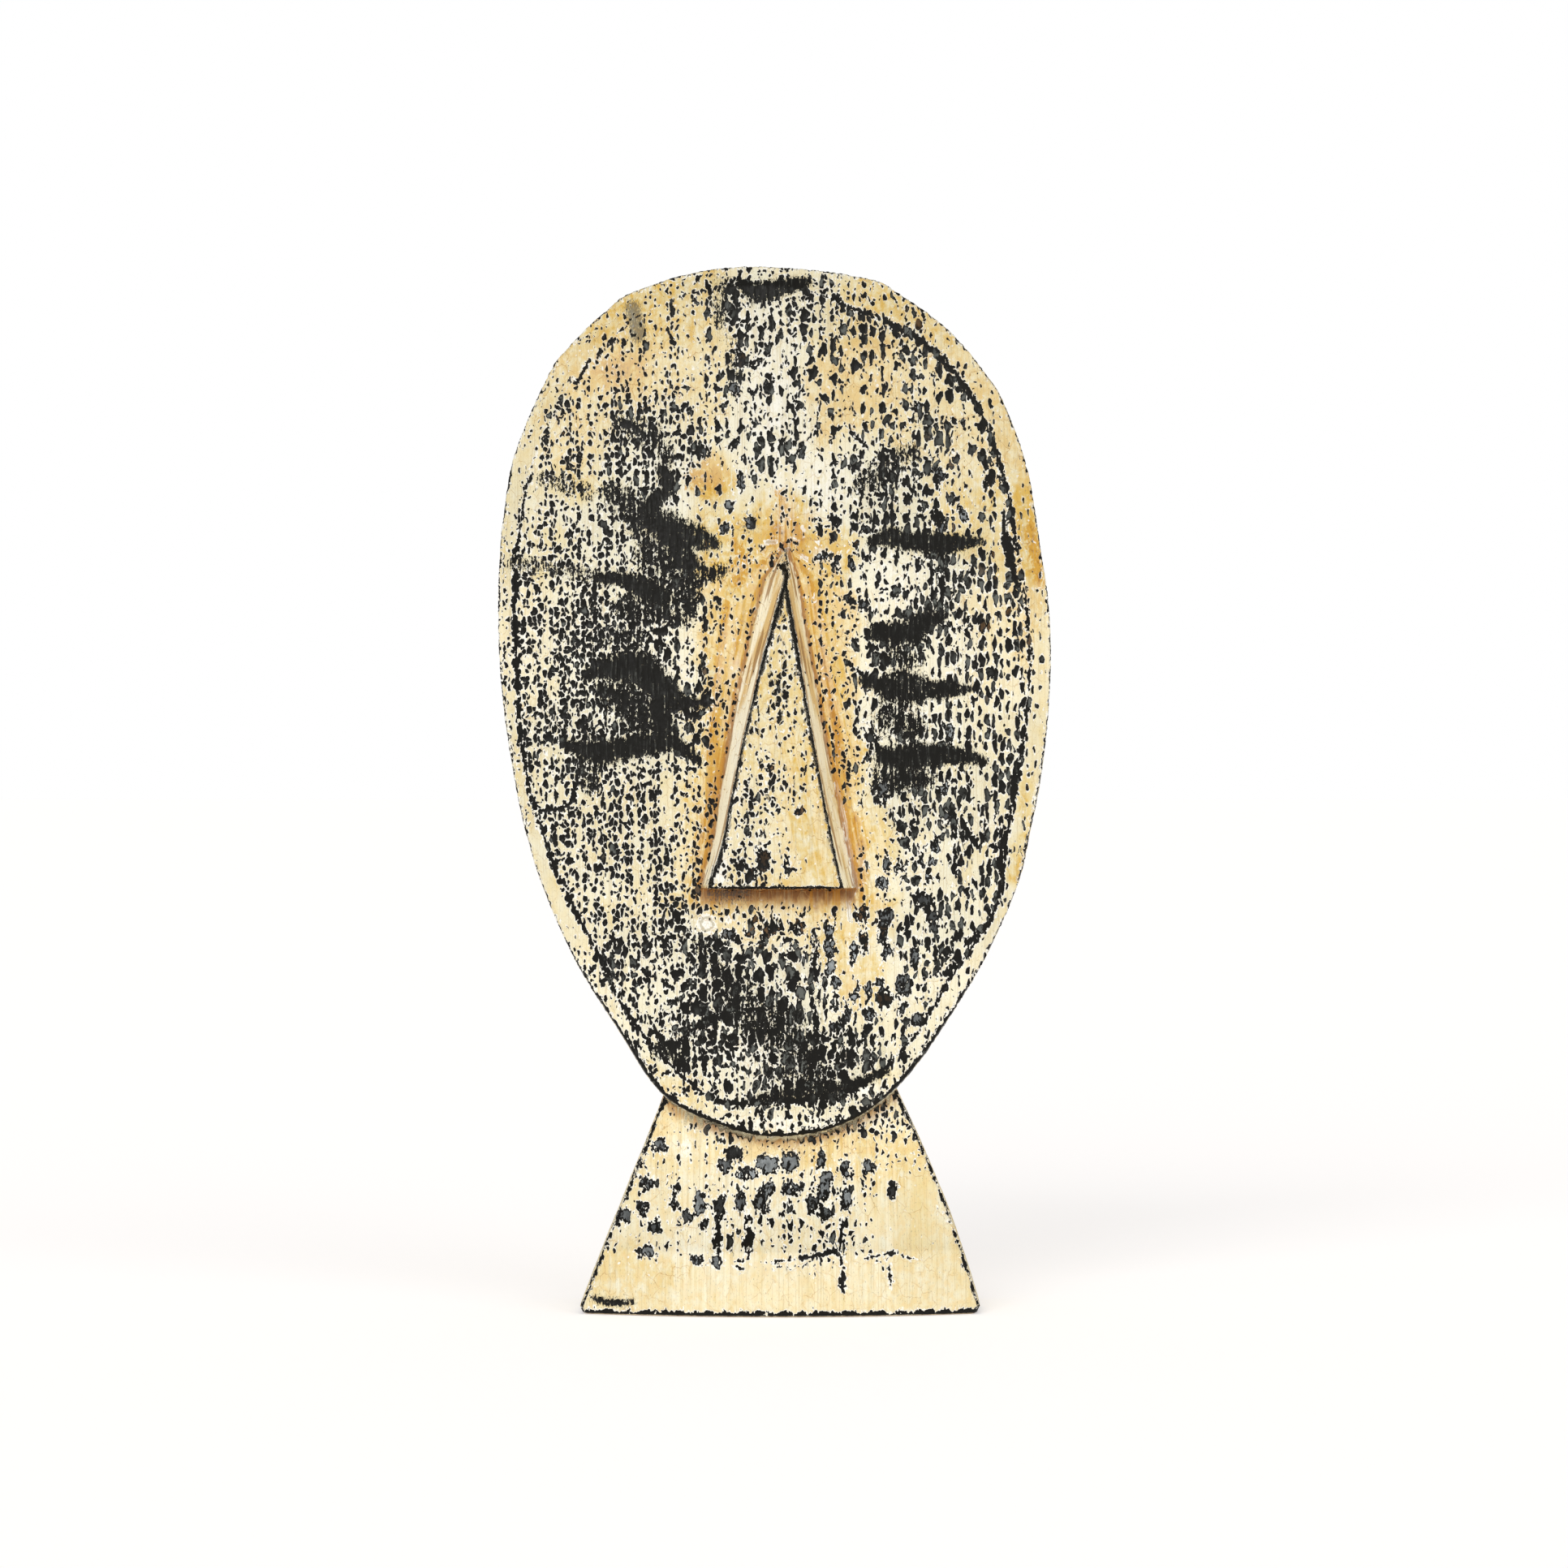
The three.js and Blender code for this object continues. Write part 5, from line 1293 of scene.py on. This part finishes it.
def paint():
    made = bpy.data.materials.new("painted_wood")
    made.use_nodes = True
    tree = made.node_tree
    tree.nodes.clear()
    g = Graph(tree)

    def read(name, vector=False):
        node = g.node("ShaderNodeAttribute", attribute_name=name)
        return node.outputs["Vector" if vector else "Fac"]

    place = read("place", True)
    a = {name: read(name, name in VECTORS) for name in PATTERN_INPUTS}
    burnt = read("burnt")
    stain, chalk, pool_and_shadow, aside, under = read("stain"), read("chalk"), read("pool_and_shadow"), read("aside"), read("under")
    nook, pit_fill_and_reflection, raised = read("nook"), read("pit_fill_and_reflection"), read("raised")
    smoke, side, across_wall, painted_light_and_tone = read("smoke"), read("side"), read("across_wall"), read("painted_light_and_tone")
    w = worn(g, place, a)
    gone = w["gone"]

    black = g.step(gone, -0.03, 0.03)
    # small flecks knocked out of the paint
    fleck_cells = g.cells(g.scaled(w["at"], 1 / 1.7, 1 / 2.1), "F1", 1.0)
    fleck_chance = g.channels(fleck_cells.outputs["Color"])
    fleck_size = g.mul(g.step(fleck_chance[0], g.line(g.math("MAXIMUM", a["pitting"], 0.0), -1.0, 1.04), 1.05), 0.36)
    fleck = g.step(g.sub(fleck_size, fleck_cells.outputs["Distance"]), -0.05, 0.05)
    drop = g.mul(g.sub(1.0, g.step(fleck_cells.outputs["Distance"], 0.16, 0.30)), g.step(fleck_chance[1], 0.90, 0.92))
    black = g.top(black, fleck)

    # colour of the coat
    cloud = g.noise(g.scaled(place, 0.10, 0.07), 3.0, 0.6).outputs[0]
    tone = g.add(stain, g.add(g.line(cloud, 1.1, -0.55), g.line(w["column"], 0.35, -0.175)))
    mottle = g.noise(g.scaled(w["at"], 0.40, 0.30), 3.0, 0.6).outputs[0]
    tone = g.add(tone, g.mul(g.line(mottle, 2.4, -1.2), g.step(stain, 0.25, 0.80)))
    beside = g.mul(g.step(nook, -10.0, -0.5), g.sub(1.0, g.step(nook, -0.5, 0.5)))
    tone = g.add(tone, g.mul(beside, g.line(mottle, 1.6, -0.30)))
    coat = g.colour((0.800, 0.755, 0.570), (0.745, 0.605, 0.300), g.step(tone, 0.0, 0.60, False))
    coat = g.colour(coat, (0.675, 0.432, 0.090), g.step(tone, 0.50, 1.30))
    coat = g.colour(coat, (0.600, 0.320, 0.045), g.step(tone, 1.40, 2.30))
    footed = g.step(a["wild"], 1.0, 1.3)
    coat = g.colour(coat, (0.760, 0.590, 0.300), g.mul(g.mul(footed, g.step(mottle, 0.42, 0.66)), 0.62))
    scorch = g.add(burnt, g.add(g.line(mottle, 1.7, -0.85), g.line(w["fast"].outputs[0], 1.1, -0.55)))
    coat = g.colour(coat, (0.610, 0.335, 0.050), g.mul(g.step(scorch, -0.12, 0.30), g.step(burnt, -0.45, 0.05)))
    coat = g.colour(coat, (0.370, 0.160, 0.020), g.mul(g.mul(g.step(scorch, 0.42, 0.90), g.step(burnt, -0.10, 0.30)), 0.85))
    coat = g.colour(coat, (0.52, 0.50, 0.39), g.mul(g.mul(g.step(a["pitting"], 0.15, 0.60), 0.26), g.sub(1.0, footed)))
    # paler lips round the pits: raised paint, partly a painted highlight on the raised edge
    rings = g.mul(w["lip"], g.mul(g.sub(1.0, g.step(smoke, 0.2, 0.7)), g.line(g.step(tone, 0.5, 1.1), -0.65, 1.0)))
    white = g.add(g.mul(chalk, g.step(g.noise(g.scaled(place, 0.35, 0.16), 3.0, 0.65).outputs[0], 0.36, 0.58)), g.mul(rings, 1.0))
    white = g.add(white, g.mul(g.mul(drop, g.step(tone, 0.45, 0.75)), 0.8))
    crumbled = g.add(raised, g.mul(g.step(raised, 0.0, 0.06), g.line(w["fast"].outputs[0], 0.70, -0.35)))
    white = g.math("ADD", white, g.step(crumbled, 0.06, 0.20), clamped=True)
    # the nose's walls are lightened as painted light against the shade they stand in, and the left one is paler still
    # below, partly scraped paint and partly a painted highlight, with brown and grey lines drawn down both sides along
    # the arrises
    length = g.node("ShaderNodeCombineXYZ")
    g.put(length.inputs[0], g.mul(across_wall, 5.0))
    g.put(length.inputs[1], g.channels(place)[1])
    drawn = g.noise(g.scaled(length.outputs[0], 0.36, 0.022), 2.0, 0.6).outputs[0]
    drawn_fine = g.noise(g.scaled(length.outputs[0], 0.95, 0.030), 1.0, 0.5).outputs[0]
    walls = g.math("ABSOLUTE", side)
    lower = g.step(g.channels(place)[1], 288.0, 270.0)
    pale = g.mul(g.mul(g.step(side, 0.3, -0.3), g.math("MINIMUM", walls, 1.0)), lower)
    light_lines = g.mul(g.mul(g.step(side, -0.2, 0.3), g.step(drawn, 0.56, 0.42)), 0.75)
    # painted light: both nose walls lightened against their shade; two lines on, the paler lower left wall is partly a
    # painted highlight
    coat = g.colour(coat, (0.860, 0.720, 0.430), g.mul(walls, 0.75))
    coat = g.colour(coat, (0.700, 0.450, 0.160), g.mul(g.mul(walls, g.step(drawn, 0.52, 0.62)), 0.75))
    coat = g.colour(coat, (0.980, 0.905, 0.680), g.math("ADD", g.mul(pale, g.step(drawn, 0.66, 0.50)), light_lines, clamped=True))
    coat = g.colour(coat, (0.900, 0.880, 0.790), white)
    swirl = g.sub(1.0, g.step(g.math("ABSOLUTE", g.line(g.add(raised, g.line(w["fast"].outputs[0], 0.24, -0.12)), 1.0, -0.40)), 0.05, 0.13))
    coat = g.colour(coat, (0.440, 0.390, 0.260), g.mul(swirl, 0.75))
    coat = g.colour(coat, (0.330, 0.170, 0.060), g.mul(g.mul(walls, g.step(drawn_fine, 0.57, 0.63)), 0.80))

    # dark amber in the corners under the nose and below the chin, partly pooled paint and partly painted shadow; brown
    # lines along the foot of the nose, crazing and the grain of the wood under the coat
    coat = g.colour(coat, (0.430, 0.225, 0.075), g.mul(g.step(g.add(pool_and_shadow, g.line(w["blot"], 0.9, -0.45)), 0.35, 1.1), 0.85))
    coat = g.colour(coat, (0.230, 0.100, 0.035), g.mul(g.step(g.add(pool_and_shadow, g.line(w["blot"], 0.9, -0.45)), 0.80, 1.40), 0.85))
    crease = g.math("ABSOLUTE", g.add(nook, g.line(w["slow"].outputs[0], 1.6, -0.5)))
    crease = g.mul(g.sub(1.0, g.step(crease, 0.40, 1.10)), g.step(w["blot"], 0.30, 0.46))
    coat = g.colour(coat, (0.360, 0.150, 0.035), g.mul(crease, 0.85))
    streaked = g.step(drawn, 0.50, 0.62)
    coat = g.colour(coat, (0.510, 0.235, 0.035), g.mul(g.mul(beside, streaked), 0.80))
    craze = g.cells(g.scaled(w["at"], 1 / 4.6, 1 / 6.0), "DISTANCE_TO_EDGE", 1.0).outputs["Distance"]
    crack = g.mul(g.sub(1.0, g.step(craze, 0.004, 0.034)), g.step(g.noise(g.scaled(place, 0.09, 0.09), 1.0).outputs[0], 0.42, 0.60))
    coat = g.colour(coat, (0.500, 0.300, 0.110), g.mul(crack, g.line(g.step(tone, 0.3, 0.9), 0.40, 0.45)))
    grain = g.noise(g.scaled(place, 1.7, 0.028), 2.0, 0.6).outputs[0]
    coat = g.colour(coat, (0.520, 0.400, 0.210), g.mul(g.step(grain, 0.53, 0.70), 0.36))
    speckle = g.noise(g.scaled(place, 2.2, 0.9), 2.0, 0.7).outputs[0]
    soot = g.step(g.add(g.mul(smoke, 0.9), g.line(speckle, 2.6, -1.3)), 0.30, 0.90)
    coat = g.colour(coat, (0.085, 0.085, 0.080), g.mul(soot, 0.74))
    # lighter or darker coat from that brightness term: painted shade towards the crown, painted light on the foot below
    # the chin
    coat = g.vector("MULTIPLY", coat, g.vector("MULTIPLY_ADD", (0.06, 0.06, 0.06), clean_vector(g, painted_light_and_tone), (1.0, 1.0, 1.0)))

    # what shows where the coat is gone: black, with slate and pale grey inside the larger pits partly as painted
    # reflection of the soft light on the glossy black
    smeared = g.step(w["scraped"], 0.0, 0.12)
    slate = g.step(g.add(w["patch"], g.line(w["chance"][2], 0.5, -0.25)), 0.44, 0.74)
    inner = g.mul(g.step(w["coarse"], 0.10, 0.42), g.step(mottle, 0.38, 0.58))
    dark = g.colour((0.0065, 0.0060, 0.0045), (0.110, 0.116, 0.104), g.mul(g.mul(slate, inner), g.sub(1.0, smeared)))
    scuffed = g.mul(g.mul(smeared, g.step(w["streak"], 0.50, 0.72)), g.step(w["blot"], 0.40, 0.62))
    dark = g.colour(dark, (0.060, 0.062, 0.054), g.mul(scuffed, 0.8))
    rust = g.mul(g.mul(g.step(w["chance"][1], 0.92, 0.93), g.step(tone, 0.3, 0.7)), inner)
    dark = g.colour(dark, (0.110, 0.060, 0.022), g.mul(rust, 0.8))
    deep = g.mul(g.step(w["single"], 0.78, 1.10), g.step(g.noise(g.scaled(place, 0.42, 0.30), 2.0, 0.6).outputs[0], 0.36, 0.46))
    deep = g.mul(deep, g.line(mottle, 1.6, 0.10))
    # painted reflection, in part: pale grey inside the single large pits
    dark = g.colour(dark, (0.405, 0.435, 0.440), g.mul(deep, g.step(pit_fill_and_reflection, 0.0, 1.6, False)))
    dark = g.colour(dark, (0.130, 0.075, 0.035), g.mul(deep, g.step(g.mul(pit_fill_and_reflection, -1.0), 0.0, 1.0, False)))
    bare = g.colour((0.20, 0.125, 0.065), (0.33, 0.22, 0.12), grain)
    base = g.colour(coat, dark, black)
    base = g.colour(base, bare, under)

    rough = g.math("MULTIPLY_ADD", black, -0.20, 0.56)
    rough = g.add(rough, g.line(w["fast"].outputs[0], 0.16, -0.08))

    sunk = g.step(gone, -0.07, 0.07)
    height = g.mul(sunk, -0.16)
    height = g.add(height, g.mul(rings, 0.04))
    height = g.add(height, g.mul(grain, 0.05))
    height = g.add(height, g.mul(crack, -0.03))
    height = g.add(height, g.mul(w["fast"].outputs[0], 0.05))
    bump = g.node("ShaderNodeBump")
    bump.inputs["Strength"].default_value = 1.0
    bump.inputs["Distance"].default_value = MM
    g.put(bump.inputs["Height"], height)

    shader = g.node("ShaderNodeBsdfPrincipled")
    shader.inputs["IOR"].default_value = 1.45
    shader.inputs["Specular IOR Level"].default_value = 0.16
    g.put(shader.inputs["Base Color"], base)
    g.put(shader.inputs["Roughness"], rough)
    g.put(shader.inputs["Normal"], bump.outputs[0])
    out = g.node("ShaderNodeOutputMaterial")
    tree.links.new(shader.outputs[0], out.inputs["Surface"])
    return made


mesh.materials.clear()
mesh.materials.append(paint())
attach(mask, "root")
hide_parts("carved_mask")

# ---------------------------------------------------------------- floor, light and camera


def plain(name, colour, rough):
    made = bpy.data.materials.new(name)
    made.use_nodes = True
    shader = made.node_tree.nodes["Principled BSDF"]
    shader.inputs["Base Color"].default_value = (*colour, 1)
    shader.inputs["Roughness"].default_value = rough
    return made


floor_mesh = bpy.data.meshes.new("floor")
size = 60.0
floor_mesh.from_pydata([(-size, -size, 0), (size, -size, 0), (size, size, 0), (-size, size, 0)], [], [(0, 1, 2, 3)])
floor_mat = plain("floor_white", (0.93, 0.925, 0.915), 0.9)
floor_mat.node_tree.nodes["Principled BSDF"].inputs["Emission Color"].default_value = (1.0, 0.955, 0.95, 1)
floor_mat.node_tree.nodes["Principled BSDF"].inputs["Emission Strength"].default_value = 0.335
floor_mesh.materials.append(floor_mat)
floor = bpy.data.objects.new("floor", floor_mesh)
bpy.context.scene.collection.objects.link(floor)

world = bpy.data.worlds.new("studio")
bpy.context.scene.world = world
world.use_nodes = True
wt = world.node_tree
wt.nodes.clear()
w_out = wt.nodes.new("ShaderNodeOutputWorld")
w_mix = wt.nodes.new("ShaderNodeMixShader")
w_ray = wt.nodes.new("ShaderNodeLightPath")
w_light = wt.nodes.new("ShaderNodeBackground")
w_seen = wt.nodes.new("ShaderNodeBackground")
w_light.inputs[0].default_value = (1.0, 0.995, 0.985, 1)
w_light.inputs[1].default_value = 0.53
w_seen.inputs[0].default_value = (1, 1, 1, 1)
w_seen.inputs[1].default_value = 1.0
wt.links.new(w_ray.outputs["Is Camera Ray"], w_mix.inputs[0])
wt.links.new(w_light.outputs[0], w_mix.inputs[1])
wt.links.new(w_seen.outputs[0], w_mix.inputs[2])
wt.links.new(w_mix.outputs[0], w_out.inputs[0])


def sun(name, azimuth, elevation, strength, soft, colour=(1, 1, 1)):
    """Broad even light from a direction: azimuth 0 is from the front, positive from the right."""
    light = bpy.data.lights.new(name, "SUN")
    light.energy, light.angle, light.color = strength, math.radians(soft), colour
    made = bpy.data.objects.new(name, light)
    bpy.context.scene.collection.objects.link(made)
    made.rotation_euler = (math.radians(90 - elevation), 0, math.radians(azimuth))
    return made


sun("key", -18, 24, 1.22, 36)
sun("fill", 40, 22, 0.50, 40)

cam_data = bpy.data.cameras.new("camera")
cam_data.sensor_width = 36.0
cam_data.lens = 36.0 * (STEP_DEPTH - EYE[1]) / (1932 * STEP)
cam_data.clip_start, cam_data.clip_end = 0.05, 100.0
cam = bpy.data.objects.new("camera", cam_data)
bpy.context.scene.collection.objects.link(cam)
cam.location = [v * MM for v in EYE]
cam.rotation_euler = (math.pi / 2, 0, 0)
bpy.context.scene.camera = cam
bpy.context.scene.view_settings.view_transform = "Standard"
bpy.context.scene.view_settings.look = "None"
